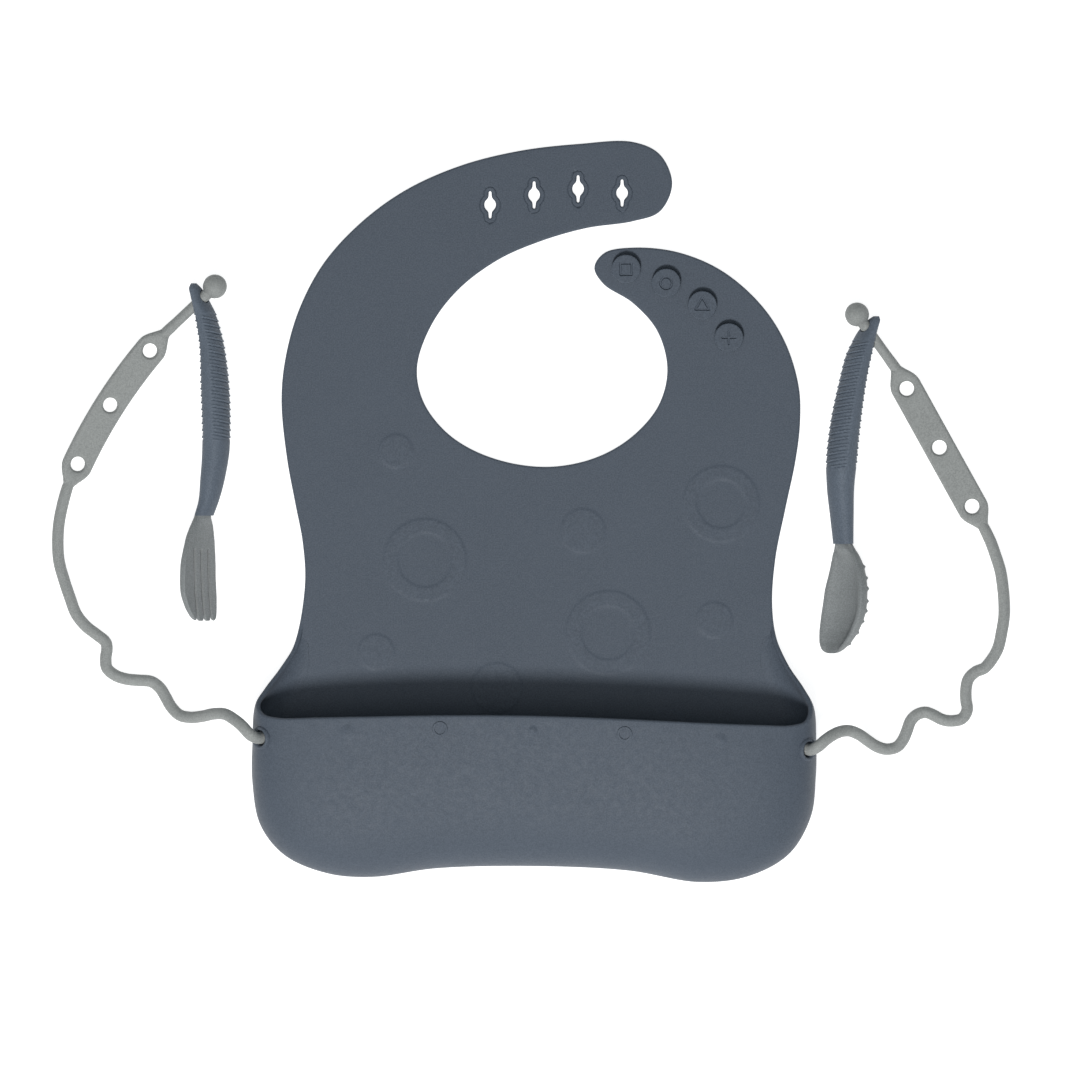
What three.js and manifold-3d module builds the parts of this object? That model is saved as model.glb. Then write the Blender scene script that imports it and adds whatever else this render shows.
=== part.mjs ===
// A baby's silicone bib, laid flat: a panel with a scoop pocket, two neck straps that button together,
// and two stretchy tethers that hold a fork and a spoon.
// Millimetres. +X is to the right, +Y runs from the pocket to the neck, +Z leaves the wearer.
// The origin is the middle of the bib's length and width, on its back face.
import * as THREE from 'three';
import { mergeVertices } from 'three/addons/utils/BufferGeometryUtils.js';
import Module from 'manifold-3d';

const wasm = await Module();
wasm.setup();

// ---- driving dimensions -------------------------------------------------------------------------------

const GAP = 0.3; // between two pieces that touch
const SHEET = 2.2; // thickness of the panel and the straps
const WALL = 2; // thickness of the pocket's wall
const FOOT_Z = SHEET + GAP; // where the pocket's wall stands on the panel

const BUTTON = { radius: 5.9, stem: 2.7, stemHeight: 1.3, cap: 1.7 };
const KEYHOLE = { radius: 2.6, width: 1.6, length: 11 };
const CORD = { radius: 2.4, sides: 8, steps: 46, stub: 2.2 };
const EYELET = { hole: 3.3, ring: 4.5, bead: 0.9 };
const KNOB = { radius: 4.8, thickness: 3, clear: 2.4 };
const STRAP = { half: 37, width: 12.6, neck: 4.4, taper: 9, thickness: 3, hole: 2.95, pitch: 27.4 };
const ROD = { radius: 2.1, bore: 2.8 };
const BALL = { radius: 4.9 };

// Colours of the silicone.
const SLATE = 0x545c67;
const HANDLE_SLATE = 0x5c6572;
const TETHER_GREY = 0x8c8f8c;
const HEAD_GREY = 0x7d8080;

// ---- outlines, as points that a smooth curve joins -----------------------------------------------------

// The strap with the keyholes: its outer edge, tip and inner edge, from the left shoulder back to it.
const KEYHOLE_STRAP = [
  [-103, 45], [-101.5, 62], [-96, 82], [-86, 101], [-71, 117.5], [-52.5, 131], [-30, 141], [-6, 147],
  [18, 149.8], [40, 150.6], [51, 145.5], [56, 133.5], [51, 122.3], [40, 118.3], [21, 115.5], [2, 110],
  [-15, 102.5], [-31, 90.5], [-42, 76], [-47.8, 59],
];
// The rest of the neck opening, and the strap with the buttons.
const BUTTON_STRAP = [
  [-45.5, 45.5], [-37, 33.5], [-25, 25.2], [-8, 19.6], [9, 18.6], [26, 22.6], [40, 31], [50.5, 43.5],
  [54, 58], [50, 73.5], [40, 85], [28, 92.8], [24.3, 99.5], [28.5, 105.5], [40, 107.6], [58, 105.8],
  [76, 98.3], [92, 84.5], [102, 69], [107.5, 51], [108, 36],
];
// Down the right side to the pocket, and up the left side from it.
const RIGHT_SIDE = [[106.2, 21], [102, 1], [98, -19], [96.7, -38]];
const LEFT_SIDE = [[-93.5, -30], [-94.3, -13], [-97.5, 4], [-100.8, 22]];

// The pocket. Each row is one place along it: the foot on the bib's outline, then the rim (x, y, z).
const POCKET = [
  [[-98, -54.5], [-98, -54.5, 4]],
  [[-103.5, -63.5], [-103.3, -63.3, 8]],
  [[-109.5, -71.5], [-109.2, -71.3, 14]],
  [[-113.6, -78.5], [-113, -77.8, 20]],
  [[-114.8, -94], [-110.5, -82, 24.5]],
  [[-114.8, -110], [-103.5, -83.6, 27.5]],
  [[-111.5, -127.5], [-90, -83.4, 30]],
  [[-101.5, -139.8], [-77, -83.1, 31.5]],
  [[-84, -147.1], [-61, -82.8, 32.5]],
  [[-66, -148.5], [-44, -82.5, 33]],
  [[-40, -145], [-22, -82.4, 33]],
  [[0, -144.1], [2, -82.7, 33]],
  [[38, -145.9], [26, -83.5, 33]],
  [[67, -150.6], [48, -84.5, 33]],
  [[87, -148.2], [64, -85.3, 32.5]],
  [[103.5, -139.2], [80, -86, 31.5]],
  [[112.4, -124], [92, -86.4, 30]],
  [[114.4, -108], [104, -86.6, 27.5]],
  [[114.6, -94], [110.5, -84.8, 24.5]],
  [[113.6, -79.5], [112.8, -79.2, 20]],
  [[109.5, -71.6], [109.2, -71.4, 14]],
  [[103.5, -62.7], [103.3, -62.5, 8]],
  [[98.6, -52], [98.6, -52, 4]],
];

// The fold across each neck strap, from its inner to its outer end.
const KEYHOLE_FOLD = [[-35, 69.1], [-110, 89.2]];
const BUTTON_FOLD = [[40, 50], [120, 50]];

// The middles of the holes and the buttons along the straps.
const KEYHOLES = [[-18.1, 125], [-0.2, 129], [17.7, 131.5], [35.6, 129.8]];
const BUTTONS = [[37.2, 98.8], [53.5, 93.1], [68.2, 84], [79, 70.9]];

// Each tether: the middle and heading of its flat adjuster, how far that bows and leans, the way of its cord
// over the table, and its ball end. Turns are in degrees.
const TETHERS = {
  left: {
    seat: { along: 4.45 / 22, up: 0.74 },
    adjuster: { x: -172.7, y: 43.6, z: 3.3, heading: 57.5, radius: 210, lean: 14 },
    ball: [-130, 91.7, 6],
    cord: [
      [-115.2, -90.3, 26.3], [-118.7, -86.6, 25.6], [-122.3, -83.8, 23], [-125.8, -82, 19.6],
      [-130.5, -82, 15], [-135, -83, 11], [-140, -83.5, 7.4], [-144.5, -82.5, 4.8], [-148, -79, 3.2],
      [-150, -75.5, 2.6], [-152.5, -71.5, 2.5], [-156, -69, 2.5], [-161, -68.5, 2.5], [-166, -68, 2.5],
      [-170.5, -66.5, 2.5], [-174, -63.5, 2.5], [-174.5, -59.5, 2.5], [-174, -56, 2.5], [-174.5, -53, 2.5],
      [-178, -50, 2.5], [-182.5, -46.5, 2.5], [-186.5, -41.5, 2.5], [-189, -35, 2.5], [-191.5, -27.5, 2.5],
      [-193.5, -20, 2.5], [-194, -12.5, 2.6], [-193.5, -4.5, 2.8], [-192, 3, 3.1],
    ],
  },
  right: {
    seat: { along: 17.3 / 22, up: 0.67 },
    adjuster: { x: 164.7, y: 26.3, z: 2.6, heading: 119, radius: 0, lean: 0 },
    ball: [131.1, 80.3, 6],
    cord: [
      [115, -95, 25.5], [118, -92.4, 25], [121, -90.4, 23], [124.2, -89.1, 19.8], [128, -88.9, 15.4],
      [132, -90.5, 11.8], [135.5, -93, 8.6], [139.5, -95.5, 5.8], [143.5, -96.5, 3.8], [147.5, -95.5, 2.8],
      [150, -92.5, 2.5], [151.5, -89, 2.5], [153, -85, 2.5], [155.5, -82.5, 2.5], [159, -81.5, 2.5],
      [162, -82.5, 2.5], [166, -84.5, 2.5], [170, -85, 2.5], [174, -84, 2.5], [176, -80.5, 2.5],
      [175.5, -76.5, 2.5], [175.5, -72, 2.5], [176.5, -68, 2.5], [179.5, -65, 2.5], [183, -63.5, 2.5],
      [186, -60, 2.5], [188.5, -55.5, 2.5], [190, -49, 2.5], [191, -42.5, 2.5], [191, -36.5, 2.5],
      [190.5, -30.5, 2.5], [189.5, -24, 2.5], [187.5, -17.5, 2.5], [185.5, -12, 2.6],
    ],
  },
};

// Utensils lie on one side, turned about their length by lean degrees. Handle rows are the middle (x, y, z),
// the half width and the half thickness. Head rows are the middle, the half width, and how far the back and
// the face lie behind the rim.
const FORK = {
  lean: 125,
  handle: [
    [-138.6, 93, 6, 1.4, 0.9], [-138, 91, 5.7, 3.5, 1.8], [-135.9, 86, 5.2, 5, 2.3],
    [-134, 80.7, 5.3, 5.3, 3.5], [-132.8, 75.6, 5.6, 5.6, 3.8], [-131.3, 68, 6, 5.8, 4.3],
    [-129.8, 47.6, 6.3, 6.4, 5.2], [-129.6, 25.2, 6.4, 6, 5], [-131, 13, 6.8, 5.6, 4.3],
    [-132.4, 4.9, 7.3, 4.9, 3.5], [-134, -1.5, 7.8, 4.4, 2.8],
  ],
  head: [
    [-134.1, -1.9, 7.8, 4.4, 2.8, -2.6], [-134.6, -6, 8.4, 6.9, 3, -1.6], [-135.5, -12, 9.2, 9.3, 3.1, -0.6],
    [-136.4, -22, 10.2, 11.7, 3.2, 0.4], [-136.3, -32, 10.4, 12.1, 3.2, 0.6],
    [-135.2, -39, 10.2, 10.4, 3, 0.5], [-134.2, -43, 9.8, 8.3, 2.4, 0], [-133.9, -44.3, 9.6, 6.4, 1.2, -0.8],
  ],
  slots: { offsets: [-4.7, 0, 4.7], width: 1.3, from: [-134.6, -15.8], to: [-133.6, -47] },
};
const SPOON = {
  lean: 50,
  handle: [
    [138.9, 79.6, 6, 1.4, 0.9], [138, 78, 5.6, 3.2, 1.8], [135.4, 73.4, 5.1, 5, 2.5],
    [133.3, 68, 5.4, 5.6, 3.7], [131.6, 62.9, 5.7, 6, 4.4], [129.3, 52.7, 6.1, 6.2, 4.7],
    [126.6, 37.4, 6.4, 6.6, 5.4], [125, 23.2, 6.5, 6.7, 5.6], [124.4, 10, 6.3, 6, 4.8],
    [124.9, -1.2, 6.4, 5.4, 4], [125.5, -13, 6.8, 4.9, 3.1],
  ],
  head: [
    [125.3, -13.4, 6.8, 4.9, 3.2, -3], [126.1, -19.5, 8.2, 8, 5, 0], [126.2, -25, 9.4, 9.8, 6.2, 3.2],
    [125.6, -32, 10.1, 11.5, 7, 4.7], [124.8, -40, 10.5, 12, 7, 4.7], [123.5, -48, 10.1, 10.5, 6.2, 4],
    [122.4, -53, 9.5, 7.8, 4.8, 2.4], [121.5, -56, 9, 4.6, 3, 0.4], [121.3, -57.3, 8.8, 2, 1.2, -0.6],
  ],
};

// ---- geometry helpers ----------------------------------------------------------------------------------

const vector = ([x, y, z = 0]) => new THREE.Vector3(x, y, z);
const spline = (points, closed = false) => new THREE.CatmullRomCurve3(points.map(vector), closed);

function solid(geometry) {
  const plain = geometry.clone();
  plain.deleteAttribute('normal');
  plain.deleteAttribute('uv');
  const merged = mergeVertices(plain, 1e-4);
  return new wasm.Manifold(new wasm.Mesh({
    numProp: 3,
    vertProperties: new Float32Array(merged.attributes.position.array),
    triVerts: new Uint32Array(merged.index.array),
  }));
}

function geometryOf(manifold) {
  const { vertProperties, triVerts } = manifold.getMesh();
  const geometry = new THREE.BufferGeometry();
  geometry.setAttribute('position', new THREE.BufferAttribute(vertProperties, 3));
  geometry.setIndex(new THREE.BufferAttribute(triVerts, 1));
  return geometry;
}

// A plate of an outline, from one height up to another.
function plate(outline, low, high) {
  const shape = new THREE.Shape(outline.map(([x, y]) => new THREE.Vector2(x, y)));
  return new THREE.ExtrudeGeometry(shape, { depth: high - low, bevelEnabled: false }).translate(0, 0, low);
}

// A closed skin over rings that all have the same number of points. Open ends get a fan from their middle.
function loft(rings, closedRound = false) {
  const count = rings[0].length;
  const points = rings.flat();
  const faces = [];
  const joins = closedRound ? rings.length : rings.length - 1;
  for (let i = 0; i < joins; i += 1) {
    const here = i * count;
    const next = ((i + 1) % rings.length) * count;
    for (let j = 0; j < count; j += 1) {
      const k = (j + 1) % count;
      faces.push(here + j, here + k, next + k, here + j, next + k, next + j);
    }
  }
  if (!closedRound) {
    [[rings[0], 0, true], [rings.at(-1), (rings.length - 1) * count, false]].forEach(([ring, first, flip]) => {
      const middle = ring.reduce((sum, p) => sum.add(p), new THREE.Vector3()).divideScalar(count);
      const at = points.push(middle) - 1;
      for (let j = 0; j < count; j += 1) {
        const k = (j + 1) % count;
        faces.push(at, first + (flip ? k : j), first + (flip ? j : k));
      }
    });
  }
  const geometry = new THREE.BufferGeometry();
  geometry.setAttribute('position', new THREE.Float32BufferAttribute(points.flatMap((p) => p.toArray()), 3));
  geometry.setIndex(faces);
  return outward(geometry);
}

// Turns a closed skin's faces round if they point inwards.
function outward(geometry) {
  const { position } = geometry.attributes;
  const index = geometry.index.array;
  const [a, b, c] = [new THREE.Vector3(), new THREE.Vector3(), new THREE.Vector3()];
  let volume = 0;
  for (let i = 0; i < index.length; i += 3) {
    a.fromBufferAttribute(position, index[i]);
    b.fromBufferAttribute(position, index[i + 1]);
    c.fromBufferAttribute(position, index[i + 2]);
    volume += a.dot(b.cross(c));
  }
  if (volume < 0) {
    for (let i = 0; i < index.length; i += 3) [index[i + 1], index[i + 2]] = [index[i + 2], index[i + 1]];
  }
  return geometry;
}

// Where a solid of revolution about +Z goes: its origin at a point and its axis along a direction.
function placement(point, axis) {
  const turn = new THREE.Quaternion().setFromUnitVectors(new THREE.Vector3(0, 0, 1), axis.clone().normalize());
  return new THREE.Matrix4().compose(point, turn, new THREE.Vector3(1, 1, 1));
}

const lathe = (profile, segments) => new THREE.LatheGeometry(
  profile.map(([r, z]) => new THREE.Vector2(r, z)),
  segments,
).rotateX(Math.PI / 2);

const cylinder = (radius, length, segments) => new THREE.CylinderGeometry(radius, radius, length, segments)
  .rotateX(Math.PI / 2);

// A round tube that follows a curve.
function tube(curve, radius, sides, steps) {
  const section = new THREE.Shape();
  for (let i = 0; i < sides; i += 1) {
    const turn = (i / sides) * 2 * Math.PI;
    section[i ? 'lineTo' : 'moveTo'](radius * Math.cos(turn), radius * Math.sin(turn));
  }
  return new THREE.ExtrudeGeometry(section, { steps, extrudePath: curve, bevelEnabled: false });
}

// ---- the bib -------------------------------------------------------------------------------------------

const footOutline = POCKET.map(([foot]) => foot);
const outline = spline(
  [...KEYHOLE_STRAP, ...BUTTON_STRAP, ...RIGHT_SIDE, ...footOutline.toReversed(), ...LEFT_SIDE],
  true,
).getPoints(200).slice(0, -1).map((p) => [p.x, p.y]);

// The region past a fold, closed through open air round the strap; grow widens the cut at the fold.
function pastFold([inner, outer], rest, grow) {
  const across = new THREE.Vector2(outer[0] - inner[0], outer[1] - inner[1]).normalize();
  const back = [Math.abs(across.y) * grow, Math.abs(across.x) * grow];
  const move = ([x, y]) => [x - Math.sign(across.y || 1) * back[0], y - back[1]];
  return solid(plate([move(inner), ...rest, move(outer)], -10, 20));
}
const keyholeRegion = (grow) => pastFold(
  KEYHOLE_FOLD,
  [[-33, 80], [-5, 101.5], [20, 111], [45, 113], [75, 113], [75, 165], [-115, 165]],
  grow,
);
const buttonRegion = (grow) => pastFold(BUTTON_FOLD, [[10, 95], [15, 110.5], [45, 113], [125, 113]], grow);

function keyhole([x, y]) {
  const slot = new THREE.BoxGeometry(KEYHOLE.width, KEYHOLE.length, 20);
  return solid(cylinder(KEYHOLE.radius, 20, 12)).add(solid(slot)).translate([x, y, 0]);
}

const sheet = solid(plate(outline, 0, SHEET));
const panel = sheet.subtract(keyholeRegion(GAP)).subtract(buttonRegion(GAP));
const keyholeStrap = KEYHOLES.reduce((strap, at) => strap.subtract(keyhole(at)), sheet.intersect(keyholeRegion(0)));
const buttonStrap = sheet.intersect(buttonRegion(0));

// ---- the pocket ----------------------------------------------------------------------------------------

const footCurve = spline(POCKET.map(([foot]) => [...foot, FOOT_Z]));
const rimCurve = spline(POCKET.map(([, rim]) => rim));

// The outside of the pocket: it rises steeply from the outline, rounds over and slopes up to the rim.
function pocketPoint(along, up) {
  const foot = footCurve.getPoint(along);
  const rim = rimCurve.getPoint(along);
  const rise = rim.z - foot.z;
  const bend = foot.clone().setZ(foot.z + 0.6 * rise);
  const slope = foot.clone().lerp(rim, 0.28).setZ(foot.z + 0.82 * rise);
  return new THREE.CubicBezierCurve3(foot, bend, slope, rim).getPoint(up);
}

function pocketNormal(along, up) {
  const step = 0.004;
  const [a, b] = [Math.max(along - step, 0), Math.min(along + step, 1)];
  const [c, d] = [Math.max(up - step, 0), Math.min(up + step, 1)];
  const round = pocketPoint(b, up).sub(pocketPoint(a, up));
  const rise = pocketPoint(along, d).sub(pocketPoint(along, c));
  return round.cross(rise).normalize();
}

// A closed ring of points for each place along: up the outside and down the inside.
function pocketShell(stations, rows) {
  const rings = [];
  for (let i = 0; i <= stations; i += 1) {
    const outside = [];
    const inside = [];
    for (let j = 0; j <= rows; j += 1) {
      const [along, up] = [i / stations, j / rows];
      const skin = pocketPoint(along, up);
      outside.push(skin);
      inside.push(skin.clone().addScaledVector(pocketNormal(along, up), -WALL));
    }
    inside[0].z = FOOT_Z;
    rings.push([...outside, ...inside.toReversed()]);
  }
  return loft(rings);
}

// Where a tether leaves the pocket: a point on its outside and the way out.
function seatOf({ along, up }) {
  return { point: pocketPoint(along, up), out: pocketNormal(along, up) };
}
const seats = { left: seatOf(TETHERS.left.seat), right: seatOf(TETHERS.right.seat) };

function pocket() {
  const holes = Object.values(seats).map(({ point, out }) => solid(
    cylinder(EYELET.hole, 14, 14).applyMatrix4(placement(point, out)),
  ));
  return holes.reduce((shell, hole) => shell.subtract(hole), solid(pocketShell(58, 7)));
}

// A raised ring round a tether's hole.
function eyelet({ point, out }) {
  const bead = [];
  for (let i = 0; i <= 6; i += 1) {
    const turn = (i / 6) * 2 * Math.PI;
    bead.push([EYELET.ring - EYELET.bead * Math.cos(turn), EYELET.bead * (1 - Math.sin(turn))]);
  }
  return lathe(bead, 18).applyMatrix4(placement(point.clone().addScaledVector(out, GAP + 0.5), out));
}

// A mushroom stud that presses through a keyhole.
function stud([x, y]) {
  const { radius, stem, stemHeight, cap } = BUTTON;
  const profile = [
    [0, 0], [stem, 0], [stem, stemHeight], [radius, stemHeight + 0.5], [radius, stemHeight + cap - 0.6],
    [radius - 0.6, stemHeight + cap], [0, stemHeight + cap],
  ];
  return lathe(profile, 20).translate(x, y, FOOT_Z);
}

// ---- the tethers ---------------------------------------------------------------------------------------

// A flat adjuster's own line: distance along it to a point in plan, with the heading there.
function adjusterPlace({ x, y, heading, radius }, u) {
  const start = THREE.MathUtils.degToRad(heading);
  if (!radius) return { x: x + u * Math.cos(start), y: y + u * Math.sin(start), turn: start };
  const turn = start - u / radius;
  return {
    x: x + radius * (Math.sin(start) - Math.sin(turn)),
    y: y + radius * (Math.cos(turn) - Math.cos(start)),
    turn,
  };
}

function adjusterPoint(adjuster, u, v, w) {
  const { x, y, turn } = adjusterPlace(adjuster, u);
  const lean = THREE.MathUtils.degToRad(adjuster.lean);
  const side = v * Math.cos(lean) - w * Math.sin(lean);
  const lift = v * Math.sin(lean) + w * Math.cos(lean);
  return new THREE.Vector3(x - side * Math.sin(turn), y + side * Math.cos(turn), adjuster.z + lift);
}

function adjusterHalfWidth(u) {
  const { half, width, neck, taper } = STRAP;
  const in01 = THREE.MathUtils.clamp((half - Math.abs(u)) / taper, 0, 1);
  return neck / 2 + ((width - neck) / 2) * Math.sin((in01 * Math.PI) / 2) ** 1.3;
}

function adjusterStrap(adjuster) {
  const rings = [];
  const steps = 22;
  const edge = 0.8;
  for (let i = 0; i <= steps; i += 1) {
    const u = -STRAP.half + (2 * STRAP.half * i) / steps;
    const v = adjusterHalfWidth(u);
    const w = STRAP.thickness / 2;
    const ring = [[v, edge - w], [v, w - edge], [v - edge, w], [edge - v, w], [-v, w - edge], [-v, edge - w],
      [edge - v, -w], [v - edge, -w]];
    rings.push(ring.map(([across, lift]) => adjusterPoint(adjuster, u, across, lift)));
  }
  const holes = [-1, 0, 1].map((i) => {
    const at = adjusterPoint(adjuster, i * STRAP.pitch, 0, 0);
    const axis = adjusterPoint(adjuster, i * STRAP.pitch, 0, 1).sub(at);
    return solid(cylinder(STRAP.hole, 12, 14).applyMatrix4(placement(at, axis)));
  });
  return geometryOf(holes.reduce((strap, hole) => strap.subtract(hole), solid(loft(rings))));
}

// The line of a tether's neck rod, from the top of its adjuster to its ball.
function rodOf({ adjuster, ball }) {
  const start = adjusterPoint(adjuster, STRAP.half, 0, 0);
  const axis = vector(ball).sub(start).normalize();
  return { start, axis, length: start.distanceTo(vector(ball)) };
}

function ballEnd(tether) {
  const { start, axis, length } = rodOf(tether);
  const profile = [[0, GAP + 0.4], [ROD.radius, GAP + 0.4]];
  const meet = Math.asin(ROD.radius / BALL.radius);
  for (let i = 0; i <= 7; i += 1) {
    const turn = meet + ((Math.PI - meet) * i) / 7;
    profile.push([Math.max(BALL.radius * Math.sin(turn), 0), length - BALL.radius * Math.cos(turn)]);
  }
  profile[profile.length - 1][0] = 0;
  return lathe(profile, 16).applyMatrix4(placement(start, axis));
}

// The cord from just outside its hole to the adjuster, and the stub and knob that hold it in the pocket.
function cordCurve(tether) {
  const end = adjusterPoint(tether.adjuster, -STRAP.half - GAP - 0.2, 0, 0);
  return new THREE.CatmullRomCurve3([...tether.cord.map(vector), end]);
}

function anchor({ point, out }) {
  const inner = WALL + KNOB.clear;
  const profile = [
    [0, -inner - KNOB.thickness], [KNOB.radius - 0.8, -inner - KNOB.thickness],
    [KNOB.radius, -inner - KNOB.thickness + 0.8], [KNOB.radius, -inner - 0.8], [KNOB.radius - 0.8, -inner],
    [CORD.radius, -inner], [CORD.radius, CORD.stub], [0, CORD.stub],
  ];
  return lathe(profile, 16).applyMatrix4(placement(point, out));
}

// ---- the utensils --------------------------------------------------------------------------------------

// The directions across a utensil's width and out of its face.
function utensilAxes(lean) {
  const turn = THREE.MathUtils.degToRad(lean);
  const across = new THREE.Vector3(Math.cos(turn), 0, Math.sin(turn));
  const face = new THREE.Vector3(Math.sin(turn), 0, -Math.cos(turn));
  return { across, face: face.z < 0 ? face.negate() : face };
}

// Rows between the given ones, on a smooth curve through each of their numbers.
function smoothRows(rows, count) {
  const line = spline(rows.map(([x, y, z]) => [x, y, z]));
  const size = spline(rows.map(([, , , a, b, c = 0]) => [a, b, c]));
  return Array.from({ length: count + 1 }, (_, i) => [line.getPoint(i / count), size.getPoint(i / count)]);
}

function handle({ lean, handle: rows }, rod) {
  const { across, face } = utensilAxes(lean);
  const rings = smoothRows(rows, 20).map(([middle, size]) => Array.from({ length: 14 }, (_, j) => {
    const turn = (j / 14) * 2 * Math.PI;
    return middle.clone()
      .addScaledVector(across, size.x * Math.cos(turn))
      .addScaledVector(face, size.y * Math.sin(turn));
  }));
  const bore = cylinder(ROD.bore, 24, 14)
    .applyMatrix4(placement(rod.start.clone().addScaledVector(rod.axis, rod.length - 8), rod.axis));
  return solid(loft(rings)).subtract(solid(bore));
}

function head({ lean, head: rows }) {
  const { across, face } = utensilAxes(lean);
  const rim = 1.7;
  const rings = smoothRows(rows, 14).map(([middle, size]) => {
    const arc = (half, depth) => Array.from({ length: 8 }, (_, j) => {
      const turn = (j / 7) * Math.PI;
      return middle.clone()
        .addScaledVector(across, half * Math.cos(turn))
        .addScaledVector(face, -depth * Math.sin(turn));
    });
    return [...arc(size.x, size.y), ...arc(Math.max(size.x - rim, 0.6), size.z).toReversed()];
  });
  return solid(loft(rings));
}

// Three slots between the fork's four tines.
function tineSlots({ lean, slots, head: rows }) {
  const { across, face } = utensilAxes(lean);
  const along = new THREE.Vector3(slots.to[0] - slots.from[0], slots.to[1] - slots.from[1], 0);
  const basis = new THREE.Matrix4().makeBasis(across, along.clone().normalize(), face);
  const middle = new THREE.Vector3(slots.from[0], slots.from[1], rows[4][2]).addScaledVector(along, 0.5);
  return slots.offsets.map((offset) => {
    const at = middle.clone().addScaledVector(across, offset);
    return solid(new THREE.BoxGeometry(slots.width, along.length(), 16)
      .applyMatrix4(basis.clone().setPosition(at)));
  });
}

// ---- the object ----------------------------------------------------------------------------------------

const bib = new THREE.Group();

function add(name, geometry, color, roughness = 0.7) {
  const mesh = new THREE.Mesh(geometry, new THREE.MeshStandardMaterial({ color, roughness, metalness: 0 }));
  mesh.name = name;
  bib.add(mesh);
}

add('bib_panel', geometryOf(panel), SLATE);
add('keyhole_strap', geometryOf(keyholeStrap), SLATE);
add('button_strap', geometryOf(buttonStrap), SLATE);
BUTTONS.forEach((at, i) => add(`button_${i + 1}`, stud(at), SLATE));
add('pocket', geometryOf(pocket()), SLATE);

Object.entries(TETHERS).forEach(([side, tether]) => {
  add(`eyelet_${side}`, eyelet(seats[side]), SLATE);
  add(`tether_${side}_knob`, anchor(seats[side]), TETHER_GREY);
  add(`tether_${side}_cord`, tube(cordCurve(tether), CORD.radius, CORD.sides, CORD.steps), TETHER_GREY);
  add(`tether_${side}_adjuster`, adjusterStrap(tether.adjuster), TETHER_GREY);
  add(`tether_${side}_ball`, ballEnd(tether), TETHER_GREY);
});

add('fork_handle', geometryOf(handle(FORK, rodOf(TETHERS.left))), HANDLE_SLATE);
const forkHead = tineSlots(FORK).reduce((tines, slot) => tines.subtract(slot), head(FORK));
add('fork_head', geometryOf(forkHead), HEAD_GREY);
add('spoon_handle', geometryOf(handle(SPOON, rodOf(TETHERS.right))), HANDLE_SLATE);
add('spoon_head', geometryOf(head(SPOON)), HEAD_GREY);

export default bib;
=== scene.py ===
import math

import bpy
import numpy as np
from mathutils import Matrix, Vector
from mathutils.geometry import delaunay_2d_cdt
from mathutils.kdtree import KDTree


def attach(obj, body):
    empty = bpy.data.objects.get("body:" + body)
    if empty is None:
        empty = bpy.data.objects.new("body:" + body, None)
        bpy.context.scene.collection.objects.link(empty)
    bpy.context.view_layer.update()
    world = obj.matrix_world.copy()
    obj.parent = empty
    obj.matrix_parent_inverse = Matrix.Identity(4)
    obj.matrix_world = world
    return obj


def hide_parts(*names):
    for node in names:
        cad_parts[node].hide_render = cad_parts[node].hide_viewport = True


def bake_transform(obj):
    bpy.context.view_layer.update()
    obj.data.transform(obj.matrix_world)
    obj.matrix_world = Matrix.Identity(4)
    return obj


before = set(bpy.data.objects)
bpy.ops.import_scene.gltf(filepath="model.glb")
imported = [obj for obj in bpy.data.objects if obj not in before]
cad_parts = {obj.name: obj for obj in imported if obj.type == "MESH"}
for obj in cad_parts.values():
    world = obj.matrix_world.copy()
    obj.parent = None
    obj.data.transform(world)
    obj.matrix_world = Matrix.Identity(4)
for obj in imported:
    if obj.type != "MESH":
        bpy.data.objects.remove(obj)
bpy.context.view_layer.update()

# ---- sizes, in metres ----

SHEET = 0.0022  # thickness of the panel and the straps
EDGE = 0.00085  # rounding of the sheet's edges
WALL = 0.002  # thickness of the pocket's wall
COVE = 0.012  # radius of the hollow where the pocket's ends rise out of the panel
FOOT_Z = 0.0025  # where the pocket's wall starts to bend
CORD_RADIUS = 0.0024
HOLE_RADIUS = 0.0033  # where a tether goes through the pocket
ROD_RADIUS = 0.0021
BORE_RADIUS = 0.0028
BALL_RADIUS = 0.0049
CAMERA_HEIGHT = 6.0
VIEW_WIDTH = 0.4396
VIEW_MIDDLE = (0.0022, -0.0114)
SENSOR = 0.036

# ---- outlines, as points that a smooth curve joins ----

KEYHOLE_STRAP = [
    (-0.103, 0.045), (-0.1015, 0.062), (-0.096, 0.082), (-0.086, 0.101), (-0.071, 0.1175),
    (-0.0525, 0.131), (-0.03, 0.141), (-0.006, 0.147), (0.018, 0.1498), (0.04, 0.1506), (0.051, 0.1455),
    (0.056, 0.1335), (0.051, 0.1223), (0.04, 0.1183), (0.021, 0.1155), (0.002, 0.11), (-0.015, 0.1025),
    (-0.031, 0.0905), (-0.042, 0.076), (-0.0478, 0.059),
]

BUTTON_STRAP = [
    (-0.0455, 0.0455), (-0.037, 0.0335), (-0.025, 0.0252), (-0.008, 0.0196), (0.009, 0.0186),
    (0.026, 0.0226), (0.04, 0.031), (0.0505, 0.0435), (0.054, 0.058), (0.05, 0.0735), (0.04, 0.085),
    (0.028, 0.0928), (0.0243, 0.0995), (0.0285, 0.1055), (0.04, 0.1076), (0.058, 0.1058), (0.076, 0.0983),
    (0.092, 0.0845), (0.102, 0.069), (0.1075, 0.051), (0.108, 0.036),
]

RIGHT_SIDE = [(0.1062, 0.021), (0.102, 0.001), (0.098, -0.019), (0.0967, -0.038)]
LEFT_SIDE = [(-0.0935, -0.03), (-0.0943, -0.013), (-0.0975, 0.004), (-0.1008, 0.022)]

KEYHOLE_FOLD = [(-0.035, 0.0691), (-0.11, 0.0892)]
BUTTON_FOLD = [(0.04, 0.05), (0.12, 0.05)]

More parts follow.
